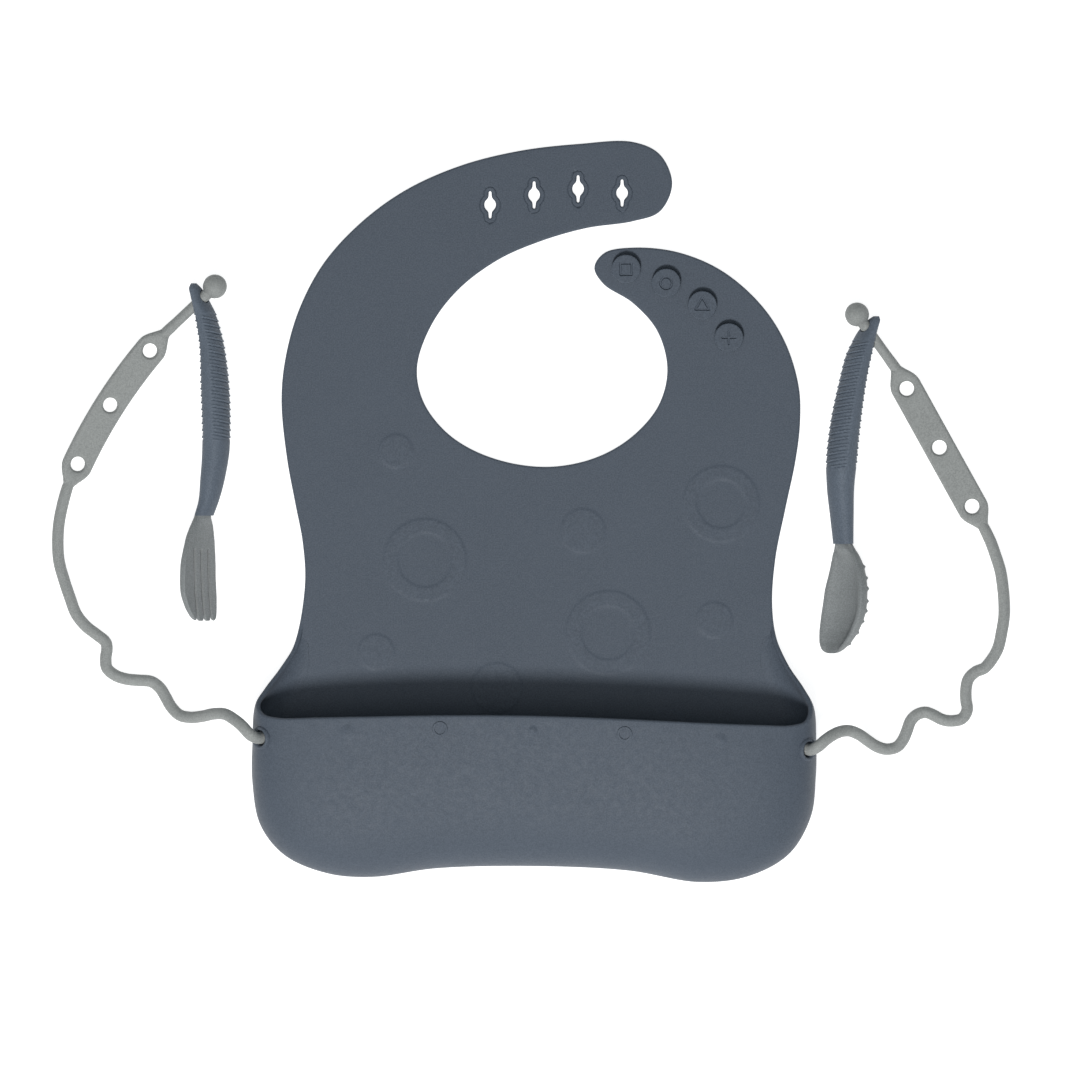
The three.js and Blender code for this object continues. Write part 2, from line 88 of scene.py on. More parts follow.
KEYHOLES = [(-0.0181, 0.125), (-0.0002, 0.129), (0.0177, 0.1315), (0.0356, 0.1298)]
BUTTONS = [(0.0372, 0.0988), (0.0535, 0.0931), (0.0682, 0.084), (0.079, 0.0709)]

# The pocket, as (foot, lip) pairs from its left end to its right.
POCKET = [
    ((-0.098, -0.0545), (-0.098, -0.0545, 0.004)), ((-0.1035, -0.0635), (-0.1033, -0.0633, 0.008)),
    ((-0.1095, -0.0715), (-0.1092, -0.0713, 0.014)), ((-0.1136, -0.0785), (-0.113, -0.0778, 0.02)),
    ((-0.1148, -0.094), (-0.1105, -0.082, 0.0245)), ((-0.1148, -0.11), (-0.1035, -0.0836, 0.0275)),
    ((-0.1115, -0.1275), (-0.09, -0.0834, 0.03)), ((-0.1015, -0.1398), (-0.077, -0.0831, 0.0315)),
    ((-0.084, -0.1471), (-0.061, -0.0828, 0.0325)), ((-0.066, -0.1485), (-0.044, -0.0825, 0.033)),
    ((-0.04, -0.145), (-0.022, -0.0824, 0.033)), ((0, -0.1441), (0.002, -0.0827, 0.033)),
    ((0.038, -0.1459), (0.026, -0.0835, 0.033)), ((0.067, -0.1506), (0.048, -0.0845, 0.033)),
    ((0.087, -0.1482), (0.064, -0.0853, 0.0325)), ((0.1035, -0.1392), (0.08, -0.086, 0.0315)),
    ((0.1124, -0.124), (0.092, -0.0864, 0.03)), ((0.1144, -0.108), (0.104, -0.0866, 0.0275)),
    ((0.1146, -0.094), (0.1105, -0.0848, 0.0245)), ((0.1136, -0.0795), (0.1128, -0.0792, 0.02)),
    ((0.1095, -0.0716), (0.1092, -0.0714, 0.014)), ((0.1035, -0.0627), (0.1033, -0.0625, 0.008)),
    ((0.0986, -0.052), (0.0986, -0.052, 0.004)),
]

LEFT_CORD = [
    (-0.1152, -0.0903, 0.0263), (-0.1187, -0.0866, 0.0256), (-0.1223, -0.0838, 0.023),
    (-0.1258, -0.082, 0.0196), (-0.1305, -0.082, 0.015), (-0.135, -0.083, 0.011), (-0.14, -0.0835, 0.0074),
    (-0.1445, -0.0825, 0.0048), (-0.148, -0.079, 0.0032), (-0.15, -0.0755, 0.0026),
    (-0.1525, -0.0715, 0.0025), (-0.156, -0.069, 0.0025), (-0.161, -0.0685, 0.0025),
    (-0.166, -0.068, 0.0025), (-0.1705, -0.0665, 0.0025), (-0.174, -0.0635, 0.0025),
    (-0.1745, -0.0595, 0.0025), (-0.174, -0.056, 0.0025), (-0.1745, -0.053, 0.0025),
    (-0.178, -0.05, 0.0025), (-0.1825, -0.0465, 0.0025), (-0.1865, -0.0415, 0.0025),
    (-0.189, -0.035, 0.0025), (-0.1915, -0.0275, 0.0025), (-0.1935, -0.02, 0.0025),
    (-0.194, -0.0125, 0.0026), (-0.1935, -0.0045, 0.0028), (-0.192, 0.003, 0.0031),
]

RIGHT_CORD = [
    (0.115, -0.095, 0.0255), (0.118, -0.0924, 0.025), (0.121, -0.0904, 0.023), (0.1242, -0.0891, 0.0198),
    (0.128, -0.0889, 0.0154), (0.132, -0.0905, 0.0118), (0.1355, -0.093, 0.0086),
    (0.1395, -0.0955, 0.0058), (0.1435, -0.0965, 0.0038), (0.1475, -0.0955, 0.0028),
    (0.15, -0.0925, 0.0025), (0.1515, -0.089, 0.0025), (0.153, -0.085, 0.0025), (0.1555, -0.0825, 0.0025),
    (0.159, -0.0815, 0.0025), (0.162, -0.0825, 0.0025), (0.166, -0.0845, 0.0025), (0.17, -0.085, 0.0025),
    (0.174, -0.084, 0.0025), (0.176, -0.0805, 0.0025), (0.1755, -0.0765, 0.0025), (0.1755, -0.072, 0.0025),
    (0.1765, -0.068, 0.0025), (0.1795, -0.065, 0.0025), (0.183, -0.0635, 0.0025), (0.186, -0.06, 0.0025),
    (0.1885, -0.0555, 0.0025), (0.19, -0.049, 0.0025), (0.191, -0.0425, 0.0025), (0.191, -0.0365, 0.0025),
    (0.1905, -0.0305, 0.0025), (0.1895, -0.024, 0.0025), (0.1875, -0.0175, 0.0025),
    (0.1855, -0.012, 0.0026),
]

# Handle rows: the middle, the half width and the half thickness.
FORK_HANDLE = [
    (-0.1386, 0.093, 0.006, 0.0014, 0.0009), (-0.138, 0.091, 0.0057, 0.0035, 0.0018),
    (-0.1359, 0.086, 0.0052, 0.005, 0.0023), (-0.134, 0.0807, 0.0053, 0.0053, 0.0035),
    (-0.1328, 0.0756, 0.0056, 0.0056, 0.0038), (-0.1313, 0.068, 0.006, 0.0058, 0.0043),
    (-0.1298, 0.0476, 0.0063, 0.0064, 0.0052), (-0.1296, 0.0252, 0.0064, 0.006, 0.005),
    (-0.131, 0.013, 0.0068, 0.0056, 0.0043), (-0.1324, 0.0049, 0.0073, 0.0049, 0.0035),
    (-0.1344, -0.0015, 0.0078, 0.0051, 0.0028),
]

# Head rows: the middle, the half width, and how far the back and the front stand out.
FORK_HEAD = [
    (-0.1344, -0.0019, 0.0078, 0.0051, 0.0028, -0.0026), (-0.1347, -0.006, 0.0084, 0.0069, 0.003, -0.001),
    (-0.1352, -0.012, 0.0092, 0.0087, 0.0031, -0.0002), (-0.1359, -0.022, 0.0102, 0.0107, 0.0031, 0),
    (-0.1358, -0.032, 0.0104, 0.011, 0.003, 0), (-0.1348, -0.039, 0.0102, 0.0095, 0.0028, 0),
    (-0.1339, -0.043, 0.0098, 0.0077, 0.0022, 0), (-0.1337, -0.0443, 0.0096, 0.006, 0.0012, -0.0004),
]

SPOON_HANDLE = [
    (0.1389, 0.0796, 0.006, 0.0014, 0.0009), (0.138, 0.078, 0.0056, 0.0032, 0.0018),
    (0.1354, 0.0734, 0.0051, 0.005, 0.0025), (0.1333, 0.068, 0.0054, 0.0056, 0.0037),
    (0.1316, 0.0629, 0.0057, 0.006, 0.0044), (0.1293, 0.0527, 0.0061, 0.0062, 0.0047),
    (0.1266, 0.0374, 0.0064, 0.0066, 0.0054), (0.125, 0.0232, 0.0065, 0.0067, 0.0056),
    (0.1244, 0.01, 0.0063, 0.006, 0.0048), (0.1249, -0.0012, 0.0064, 0.0054, 0.004),
    (0.1255, -0.013, 0.0068, 0.0049, 0.0031),
]

SPOON_HEAD = [
    (0.1253, -0.0134, 0.0068, 0.0049, 0.0032, -0.003), (0.1256, -0.0153, 0.0072, 0.0058, 0.0037, -0.0024),
    (0.1259, -0.0172, 0.0077, 0.0069, 0.0044, -0.0006), (0.1262, -0.0205, 0.0085, 0.0083, 0.0053, 0.0014),
    (0.1262, -0.025, 0.0097, 0.0098, 0.0062, 0.0028), (0.1256, -0.032, 0.0108, 0.0115, 0.007, 0.0037),
    (0.1248, -0.04, 0.0112, 0.012, 0.007, 0.0037), (0.123, -0.048, 0.0108, 0.0108, 0.0062, 0.003),
    (0.1216, -0.053, 0.0102, 0.0087, 0.0048, 0.0016), (0.1208, -0.056, 0.0095, 0.006, 0.003, 0.0002),
    (0.1207, -0.0571, 0.0089, 0.0039, 0.0017, -0.0004), (0.1207, -0.0575, 0.0088, 0.0016, 0.0008, -0.0005),
]


# The neck straps' regions beyond their folds, as wide polygons round them.
KEYHOLE_REGION = [
    KEYHOLE_FOLD[0], (-0.033, 0.08), (-0.005, 0.1015), (0.02, 0.111), (0.045, 0.113), (0.075, 0.113),
    (0.075, 0.165), (-0.115, 0.165), KEYHOLE_FOLD[1],
]
BUTTON_REGION = [
    BUTTON_FOLD[0], (0.01, 0.095), (0.015, 0.1105), (0.045, 0.113), (0.125, 0.113), BUTTON_FOLD[1],
]

# Half of a keyhole's outline, as (half width, height) from its top to its middle.
KEYHOLE_HALF = [
    (0.0003, 0.00545), (0.00052, 0.0051), (0.00057, 0.0044), (0.00061, 0.0037), (0.00075, 0.003),
    (0.00112, 0.0024), (0.00164, 0.00185), (0.0021, 0.00115), (0.00234, 0.0),
]
KEYHOLE_BORDER = 0.0019  # width of the raised border round a keyhole

# Low round marks on the front of the panel: the middle, the radius, and the radius of the hollow in it.
CHEST_MARKS = [
    ((-0.0564, 0.0248), 0.0069, 0), ((-0.0645, -0.057), 0.0073, 0), ((0.0731, -0.044), 0.0073, 0),
    ((0.0197, -0.0077), 0.009, 0), ((-0.0153, -0.0716), 0.0102, 0), ((0.0539, -0.0867), 0.0065, 0),
    ((-0.0446, -0.0195), 0.0167, 0.011), ((0.0759, 0.0033), 0.0155, 0.0098),
    ((0.0299, -0.0492), 0.0171, 0.0108),
]
MARK_HEIGHT = 0.00026
MARK_SLOPE = 0.0016  # width of the slope at a mark's edge

# Marks under the pocket's lip: x, y, the radius, and the radius of a ring's hole.
LIP_MARKS = [
    (-0.0759, -0.0891, 0.0042, 0), (0.0747, -0.0924, 0.0042, 0),
    (-0.0381, -0.0882, 0.0031, 0.0021), (0.0368, -0.0898, 0.0031, 0.0021),
    (-0.0006, -0.0883, 0.0028, 0),
]
RING_HEIGHT = 0.0005
RING_ROUNDING = 0.00018

BUTTON_RADIUS = 0.0059
BUTTON_HEIGHT = 0.0031
SYMBOL_SIZE = 0.0026
SYMBOL_DEPTH = 0.00065

# A reach past each strap's fold, passed to bend().
KEYHOLE_BEND = 0.026
BUTTON_BEND = 0.0145

# Each tether: where it leaves the pocket (stations along it, share up the wall), and its flat adjuster.
TETHERS = {
    "left": {
        "station": 4.45, "up": 0.74, "cord": LEFT_CORD, "ball": (-0.13, 0.0917, 0.006),
        "adjuster": {"x": -0.1727, "y": 0.0436, "z": 0.0033, "heading": 57.5, "radius": 0.21, "lean": 14},
    },
    "right": {
        "station": 17.3, "up": 0.67, "cord": RIGHT_CORD, "ball": (0.1311, 0.0803, 0.006),
        "adjuster": {"x": 0.1647, "y": 0.0263, "z": 0.0026, "heading": 119, "radius": 0, "lean": 0},
    },
}
ADJUSTER_HALF = 0.037
ADJUSTER_WIDTH = 0.0126
ADJUSTER_NECK = 0.0044
ADJUSTER_TAPER = 0.009
ADJUSTER_THICKNESS = 0.003
ADJUSTER_HOLE = 0.00295
ADJUSTER_PITCH = 0.0274

FORK_LEAN = 125  # degrees that each utensil is turned about its length
SPOON_LEAN = 50
FORK_RIBS = (0.0812, 0.0285)  # where each handle's ribs start and end, in y
SPOON_RIBS = (0.0705, 0.0175)
RIB_PITCH = 0.0028
RIB_SLANT = 0.0011
OVAL = 0.88  # power of the utensils' oval sections: 1 is an ellipse, less is fuller
HOLLOW = 1.6  # power of the curve across a head's hollow face: more keeps the hollow off the rim

# The fork's slots: their places across the head, the line they follow, and half their width.
FORK_SLOTS = (-0.0047, 0.0, 0.0047)
SLOT_FROM = (-0.1346, -0.0158)
SLOT_TO = (-0.1336, -0.047)
SLOT_HALF = 0.00085
SLOT_TILT = 0.35  # how far the slots are cut off square to the face
SLOT_REACH = 0.009

# The small nubs on the spoon's back: their rows, in y, and their places round the back, in degrees.
NUB_ROWS = (-0.0221, -0.0266, -0.0313, -0.0361, -0.0402, -0.0446, -0.0492, -0.0537)
NUB_TURNS = (32, 72, 108, 148)
NUB_HEIGHT = 0.00075
NUB_RADIUS = 0.00125


# ---- curves ----

def curve(points, at, closed=False):
    """Points on a smooth curve (centripetal Catmull-Rom) at the given places, counted in its own points."""
    points = np.array(points, float)
    spans = len(points) if closed else len(points) - 1
    if closed:
        padded = np.vstack([points[-1], points, points[:2]])
        at = np.mod(at, spans)
    else:
        padded = np.vstack([2 * points[0] - points[1], points, 2 * points[-1] - points[-2]])
    span = np.clip(np.floor(at).astype(int), 0, spans - 1)
    share = (at - span)[:, None]
    p0, p1, p2, p3 = (padded[span + k] for k in range(4))
    pairs = ((p0, p1), (p1, p2), (p2, p3))
    d0, d1, d2 = (np.linalg.norm(b - a, axis=1, keepdims=True) ** 0.5 for a, b in pairs)
    start = ((p1 - p0) / d0 - (p2 - p0) / (d0 + d1) + (p2 - p1) / d1) * d1
    end = ((p2 - p1) / d1 - (p3 - p1) / (d1 + d2) + (p3 - p2) / d2) * d1
    squared = 3 * (p2 - p1) - 2 * start - end
    cubed = 2 * (p1 - p2) + start + end
    return p1 + start * share + squared * share**2 + cubed * share**3


def lengths_along(points):
    """How far along a chain of points each of them is."""
    steps = np.linalg.norm(np.diff(points, axis=0), axis=1)
    return np.concatenate([[0], np.cumsum(steps)])


def even_places(points, first, last, spacing, closed=False):
    """Places on a curve from first to last that are the same distance apart."""
    fine = np.linspace(first, last, 4000)
    along = lengths_along(curve(points, fine, closed))
    count = max(int(round(along[-1] / spacing)), 2)
    return np.interp(np.linspace(0, along[-1], count + 1), along, fine)


def unit(vectors):
    return vectors / np.maximum(np.linalg.norm(vectors, axis=-1, keepdims=True), 1e-12)


def full_turn(count):
    return np.linspace(0, 2 * math.pi, count, endpoint=False)


def circle(count, radius):
    turns = full_turn(count)
    return radius * np.column_stack([np.cos(turns), np.sin(turns)])


def smooth_step(value):
    value = np.clip(value, 0, 1)
    return value * value * (3 - 2 * value)


def inside(points, polygon):
    """Which of the points lie in a polygon."""
    polygon = np.array(polygon, float)[:, :2]
    result = np.zeros(len(points), bool)
    for (ax, ay), (bx, by) in zip(polygon, np.roll(polygon, -1, axis=0)):
        if ay == by:
            continue
        crosses = (ay > points[:, 1]) != (by > points[:, 1])
        result ^= crosses & (points[:, 0] < ax + (points[:, 1] - ay) * (bx - ax) / (by - ay))
    return result


def distance_to(points, line, closed=True):
    """How far each point is from a chain of straight segments."""
    starts = line if closed else line[:-1]
    spans = (np.roll(line, -1, axis=0) if closed else line[1:]) - starts
    squares = np.maximum((spans**2).sum(1), 1e-18)
    nearest = np.empty(len(points))
    for first in range(0, len(points), 1500):
        part = points[first:first + 1500, None, :] - starts[None]
        share = np.clip((part * spans[None]).sum(2) / squares, 0, 1)
        gap = part - share[:, :, None] * spans[None]
        nearest[first:first + 1500] = np.sqrt((gap**2).sum(2).min(1))
    return nearest


# ---- meshes ----

def add_object(name, data):
    thing = bpy.data.objects.new(name, data)
    bpy.context.scene.collection.objects.link(thing)
    return thing


def new_mesh(name, points, faces):
    """A mesh whose faces point outwards. The sign of the volume they enclose tells which way they point."""
    points = np.asarray(points, float)
    fans = [(face[0], face[k], face[k + 1]) for face in faces for k in range(1, len(face) - 1)]
    a, b, c = points[np.array(fans)].transpose(1, 0, 2)
    step = -1 if np.einsum("ij,ij->", a, np.cross(b, c)) < 0 else 1
    mesh = bpy.data.meshes.new(name)
    mesh.from_pydata(points.tolist(), [], [list(map(int, face))[::step] for face in faces])
    mesh.update()
    return mesh


def make_piece(name, points, faces, slot, body, stands_for=()):
    """A piece with its slot's look. One with no body is left with no parent."""
    mesh = new_mesh(name, points, faces)
    mesh.shade_smooth()
    mesh.materials.append(LOOKS[slot])
    piece = add_object(name, mesh)
    if body:
        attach(piece, body)
    if stands_for:
        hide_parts(*stands_for)
    return piece


def grid_faces(rows, columns, wrap=False):
    """Quads of a grid of points, whose columns may close round."""
    faces = []
    for i in range(rows - 1):
        for j in range(columns if wrap else columns - 1):
            k = (j + 1) % columns
            faces.append((i * columns + j, i * columns + k, (i + 1) * columns + k, (i + 1) * columns + j))
    return faces


def capped_rings(rings):
    """Points and faces of a closed skin over rings, each end filled with a fan."""
    rings = np.asarray(rings)
    count, sides = rings.shape[:2]
    points = rings.reshape(-1, 3)
    faces = grid_faces(count, sides, wrap=True)
    last = (count - 1) * sides
    points = np.vstack([points, rings[0].mean(0), rings[-1].mean(0)])
    for j in range(sides):
        k = (j + 1) % sides
        faces.append((k, j, len(points) - 2))
        faces.append((last + j, last + k, len(points) - 1))
    return points, faces


def closed_rings(rings):
    """Points and faces of a ring-shaped skin, whose last row joins its first."""
    rows, sides = rings.shape[:2]
    faces = grid_faces(rows, sides, wrap=True)
    last = (rows - 1) * sides
    faces += [(last + j, last + (j + 1) % sides, (j + 1) % sides, j) for j in range(sides)]
    return rings.reshape(-1, 3), faces


def prism(rings):
    """Points and faces of a closed skin between two rings, each end one flat face of any outline."""
    low, high = rings
    count = len(low)
    faces = grid_faces(2, count, wrap=True)
    return np.vstack([low, high]), [*faces, tuple(range(count))[::-1], tuple(range(count, 2 * count))]


def apply_modifiers(piece):
    bpy.context.view_layer.update()
    depsgraph = bpy.context.evaluated_depsgraph_get()
    piece.data = bpy.data.meshes.new_from_object(piece.evaluated_get(depsgraph))
    piece.modifiers.clear()


def cut(piece, *cutters):
    """Cuts the cutters' volumes out of a piece, and removes them."""
    for cutter in cutters:
        boolean = piece.modifiers.new("cut", "BOOLEAN")
        boolean.operation = "DIFFERENCE"
        boolean.solver = "EXACT"
        boolean.object = cutter
    apply_modifiers(piece)
    for cutter in cutters:
        bpy.data.objects.remove(cutter)


def cutter(points, faces):
    return add_object("cutter", new_mesh("cutter", points, faces))


def axes_across(axis):
    """Two unit directions square to an axis."""
    axis = unit(np.array(axis, float))
    helper = np.array([0, 0, 1.0]) if abs(axis[2]) < 0.9 else np.array([1.0, 0, 0])
    first = unit(np.cross(helper, axis))
    return first, np.cross(axis, first)


def lathe_points(profile, origin, axis, sides):
    """Rings of (radius, height) rows round an axis."""
    first, second = axes_across(axis)
    turns = full_turn(sides)
    spokes = np.cos(turns)[:, None] * first + np.sin(turns)[:, None] * second
    return np.array([np.array(origin) + h * np.array(axis) + r * spokes for r, h in profile])


def arc(middle, radius, start, end, count):
    """(radius, height) rows round an arc, its turns in degrees from straight out."""
    turns = np.radians(np.linspace(start, end, count))
    return [(middle[0] + radius * math.cos(t), middle[1] + radius * math.sin(t)) for t in turns]


# ---- silicone ----

def silicone(name, color, roughness=0.62, bump=0.25, speck=0.35):
    """Matt moulded silicone: a fine grain, slow changes of tone, and a few pale specks of dust."""
    material = bpy.data.materials.new(name)
    material.use_nodes = True
    nodes, links = material.node_tree.nodes, material.node_tree.links
    shader = nodes["Principled BSDF"]
    place = nodes.new("ShaderNodeTexCoord")

    def noise(scale, detail):
        node = nodes.new("ShaderNodeTexNoise")
        node.inputs["Scale"].default_value = scale
        node.inputs["Detail"].default_value = detail
        links.new(place.outputs["Object"], node.inputs["Vector"])
        return node.outputs["Fac"]

    def spread(value, low, high, to_low, to_high):
        node = nodes.new("ShaderNodeMapRange")
        for socket, number in zip(("From Min", "From Max", "To Min", "To Max"), (low, high, to_low, to_high)):
            node.inputs[socket].default_value = number
        links.new(value, node.inputs["Value"])
        return node.outputs["Result"]

    def mix(share, first, second):
        node = nodes.new("ShaderNodeMix")
        node.data_type = "RGBA"
        links.new(share, node.inputs["Factor"])
        for socket, value in (("A", first), ("B", second)):
            target = node.inputs[6 if socket == "A" else 7]
            if isinstance(value, tuple):
                target.default_value = (*value, 1)
            else:
                links.new(value, target)
        return node.outputs[2]

    grain = noise(1800, 3)
    blotches = noise(38, 3)
    dark, light = (tuple(c * k for c in color) for k in (0.88, 0.95))
    body = mix(spread(blotches, 0.3, 0.7, 0, 1), dark, light)
    pale = tuple(min(c * 1.22 + 0.004, 1) for c in color)
    body = mix(spread(grain, 0.36, 0.64, 0, 0.9), body, pale)
    dust = nodes.new("ShaderNodeTexVoronoi")
    dust.inputs["Scale"].default_value = 330
    links.new(place.outputs["Object"], dust.inputs["Vector"])
    bright = tuple(min(c * 1.7 + 0.02, 1) for c in color)
    body = mix(spread(dust.outputs["Distance"], 0.075, 0.03, 0, speck), body, bright)
    links.new(body, shader.inputs["Base Color"])
    links.new(spread(noise(420, 2), 0.3, 0.7, roughness - 0.05, roughness + 0.06), shader.inputs["Roughness"])
    shader.inputs["Specular IOR Level"].default_value = 0.27
    shader.inputs["Sheen Weight"].default_value = 0.04
    shader.inputs["Sheen Roughness"].default_value = 0.5
    surface = nodes.new("ShaderNodeBump")
    surface.inputs["Strength"].default_value = bump
    surface.inputs["Distance"].default_value = 0.00008
    links.new(grain, surface.inputs["Height"])
    links.new(surface.outputs["Normal"], shader.inputs["Normal"])
    return material


LOOKS = {
    "slate_silicone": silicone("slate_silicone_look", (0.078, 0.095, 0.121)),
    "handle_silicone": silicone("handle_silicone_look", (0.118, 0.142, 0.176)),
    "grey_silicone": silicone("grey_silicone_look", (0.293, 0.303, 0.294), bump=0.3),
    "head_silicone": silicone("head_silicone_look", (0.235, 0.248, 0.25), bump=0.2),
}


# ---- camera ----

def add_camera():
    """Straight above, from far off, with +Y at the top of the view."""
    data = bpy.data.cameras.new("camera")
    data.sensor_width = SENSOR * 1000  # Blender takes these two in millimetres
    data.lens = SENSOR * 1000 * CAMERA_HEIGHT / VIEW_WIDTH
    data.clip_end = 20
    camera = add_object("camera", data)
    camera.location = (*VIEW_MIDDLE, CAMERA_HEIGHT)
    bpy.context.scene.camera = camera


add_camera()


# ---- the bib's outline and the pocket's surface ----

POCKET_FEET = [foot for foot, _ in POCKET]
POCKET_RIMS = [rim for _, rim in POCKET]
OUTLINE = KEYHOLE_STRAP + BUTTON_STRAP + RIGHT_SIDE + POCKET_FEET[::-1] + LEFT_SIDE
LAST_STATION = len(POCKET) - 1
FOOT_PLACE = len(KEYHOLE_STRAP + BUTTON_STRAP + RIGHT_SIDE) + LAST_STATION  # the left end of the pocket
RAMP = 0.42  # how far the pocket's lip runs on past its ends, in stations


def outline_points(places):
    return curve(OUTLINE, places, closed=True)


def outline_inward(places):
    """The direction into the sheet, square to its outline."""
    ahead = outline_points(places + 0.01) - outline_points(places - 0.01)
    return unit(np.stack([ahead[:, 1], -ahead[:, 0]], axis=1))


def pocket_feet(stations):
    """Points (x, y, z) of the pocket's foot. It runs the other way round than the outline does."""
    plan = outline_points(FOOT_PLACE - stations)
    rise = smooth_step((pocket_rims(stations)[:, 2] - SHEET) / 0.0018)
    return np.column_stack([plan, EDGE + (FOOT_Z - EDGE) * rise])


def pocket_rims(stations):
    rims = curve(POCKET_RIMS, np.clip(stations, 0, LAST_STATION))
    beyond = np.maximum(-stations, stations - LAST_STATION)
    ends = beyond > 0
    rims[ends, :2] = outline_points(FOOT_PLACE - stations[ends])
    rims[ends, 2] = rims[ends, 2] + (SHEET - rims[ends, 2]) * smooth_step(beyond[ends] / RAMP)
    return rims


def pocket_outside(stations, ups):
    """The pocket's outside at every station and share up: it rises, rounds over and slopes to the rim."""
    foot, rim = pocket_feet(stations), pocket_rims(stations)
    rise = (rim - foot)[:, 2]
    bend = foot.copy()
    bend[:, 2] += 0.6 * rise
    slope = foot + 0.28 * (rim - foot)
    slope[:, 2] = foot[:, 2] + 0.82 * rise
    u = ups[..., None]
    foot, bend, slope, rim = (p[:, None, :] for p in (foot, bend, slope, rim))
    return foot * (1 - u)**3 + 3 * bend * u * (1 - u)**2 + 3 * slope * u**2 * (1 - u) + rim * u**3


def pocket_normals(stations, ups):
    step = 0.02
    rise_step = 0.004
    low, high = np.clip(ups - rise_step, 0, 1), np.clip(ups + rise_step, 0, 1)
    round_way = pocket_outside(stations + step, ups) - pocket_outside(stations - step, ups)
    rise_way = pocket_outside(stations, high) - pocket_outside(stations, low)
    return unit(np.cross(round_way, rise_way))


def pocket_spot(station, up):
    """The point on the pocket's outside at one station and share up, and the way out there."""
    station, up = np.array([station]), np.array([[up]])
    return pocket_outside(station, up)[0, 0], pocket_normals(station, up)[0, 0]


def seat(side):
    """Where a tether leaves the pocket: the point on its outside, and the way out."""
    return pocket_spot(TETHERS[side]["station"], TETHERS[side]["up"])


# ---- the tethers ----

def adjuster_point(adjuster, u, v, w):
    """A point u along an adjuster, v across it and w up from its middle; u, v and w may be arrays."""
    heading = math.radians(adjuster["heading"])
    if adjuster["radius"]:
        turn = heading - u / adjuster["radius"]
        x = adjuster["x"] + adjuster["radius"] * (math.sin(heading) - np.sin(turn))
        y = adjuster["y"] + adjuster["radius"] * (np.cos(turn) - math.cos(heading))
    else:
        turn = heading + 0 * u
        x = adjuster["x"] + u * math.cos(heading)
        y = adjuster["y"] + u * math.sin(heading)
    lean = math.radians(adjuster["lean"])
    side = v * math.cos(lean) - w * math.sin(lean)
    lift = v * math.sin(lean) + w * math.cos(lean)
    return np.stack([x - side * np.sin(turn), y + side * np.cos(turn), adjuster["z"] + lift], axis=-1)


def adjuster_half_width(u):
    into = np.clip((ADJUSTER_HALF - np.abs(u)) / ADJUSTER_TAPER, 0, 1)
    grown = np.sin(into * math.pi / 2)**1.3
    return ADJUSTER_NECK / 2 + (ADJUSTER_WIDTH - ADJUSTER_NECK) / 2 * grown


def tube_rings(centres, radii, sides):
    """Rings round a line of centres, turned as little as possible from one to the next."""
    ways = unit(np.gradient(centres, axis=0))
    first = axes_across(ways[0])[0]
    turns = full_turn(sides)
    rings = []
    for centre, way, radius in zip(centres, ways, radii):
        first = unit(first - way * (first @ way))
        second = np.cross(way, first)
        rings.append(centre + radius * (np.cos(turns)[:, None] * first + np.sin(turns)[:, None] * second))
    return rings


def rod_line(side):
    """A tether's rod: its start at the top of the adjuster, its direction, and the way to the ball."""
    start = adjuster_point(TETHERS[side]["adjuster"], ADJUSTER_HALF, 0, 0)
    way = np.array(TETHERS[side]["ball"]) - start
    return start, unit(way), float(np.linalg.norm(way))


def cord_centres(side):
    """The cord's own line: out of its hole, down to the table, along it and into the adjuster."""
    point, out = seat(side)
    adjuster = TETHERS[side]["adjuster"]
    route = [point - 0.0012 * out, point + 0.0012 * out, *TETHERS[side]["cord"]]
    route.append(adjuster_point(adjuster, -ADJUSTER_HALF - 0.0005, 0, 0))
    route.append(adjuster_point(adjuster, -ADJUSTER_HALF + 0.003, 0, 0))
    return curve(route, even_places(route, 0, len(route) - 1, 0.0009))


def add_cord(side):
    centres = cord_centres(side)
    along = lengths_along(centres)
    left = along[-1] - along
    radii = np.interp(left, [0, 0.0035, 0.008], [0.0019, 0.00232, CORD_RADIUS])
    points, faces = capped_rings(tube_rings(centres, radii, 20))
    body = f"tether_{side}"
    piece = make_piece(f"{body}_cord_tube", points, faces, "grey_silicone", None, [f"{body}_cord"])
    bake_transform(piece)
    return piece, centres, float(along[-1])


def add_adjuster(side):
    """A flat strap with three round holes. Its ends thicken into the round cord and rod."""
    adjuster = TETHERS[side]["adjuster"]
    u = np.linspace(-ADJUSTER_HALF, ADJUSTER_HALF, 110)
    edge = np.column_stack([u, adjuster_half_width(u)])
    ends = np.column_stack([np.full(5, ADJUSTER_HALF), np.linspace(1, -1, 7)[1:-1] * ADJUSTER_NECK / 2])
    outline = np.vstack([edge, ends, edge[::-1] * (1, -1), ends[::-1] * (-1, 1)])[::-1]
    holes = [circle(44, ADJUSTER_HOLE) + (i * ADJUSTER_PITCH, 0) for i in (-1, 0, 1)]
    rounding = 0.0011
    plan, triangles, loops, gaps = sheet_plan(outline, holes, 0.0014, rounding)
    into = np.clip((ADJUSTER_HALF - np.abs(plan[:, 0])) / ADJUSTER_TAPER, 0, 1)
    half = ADJUSTER_THICKNESS / 2 + (0.0021 - ADJUSTER_THICKNESS / 2) * (1 - smooth_step(into))
    reach = rounding + (0.0021 - rounding) * (1 - smooth_step(into))
    share = np.clip(gaps / reach, 0, 1)
    lift = half * (0.12 + 0.88 * np.sqrt(1 - (1 - share)**2))
    top = adjuster_point(adjuster, plan[:, 0], plan[:, 1], lift)
    bottom = adjuster_point(adjuster, plan[:, 0], plan[:, 1], -lift)
    points, faces = two_sided(top, bottom, triangles, loops)
    name = f"tether_{side}_adjuster"
    return make_piece(f"{name}_strap", points, faces, "grey_silicone", f"tether_{side}_end", [name])


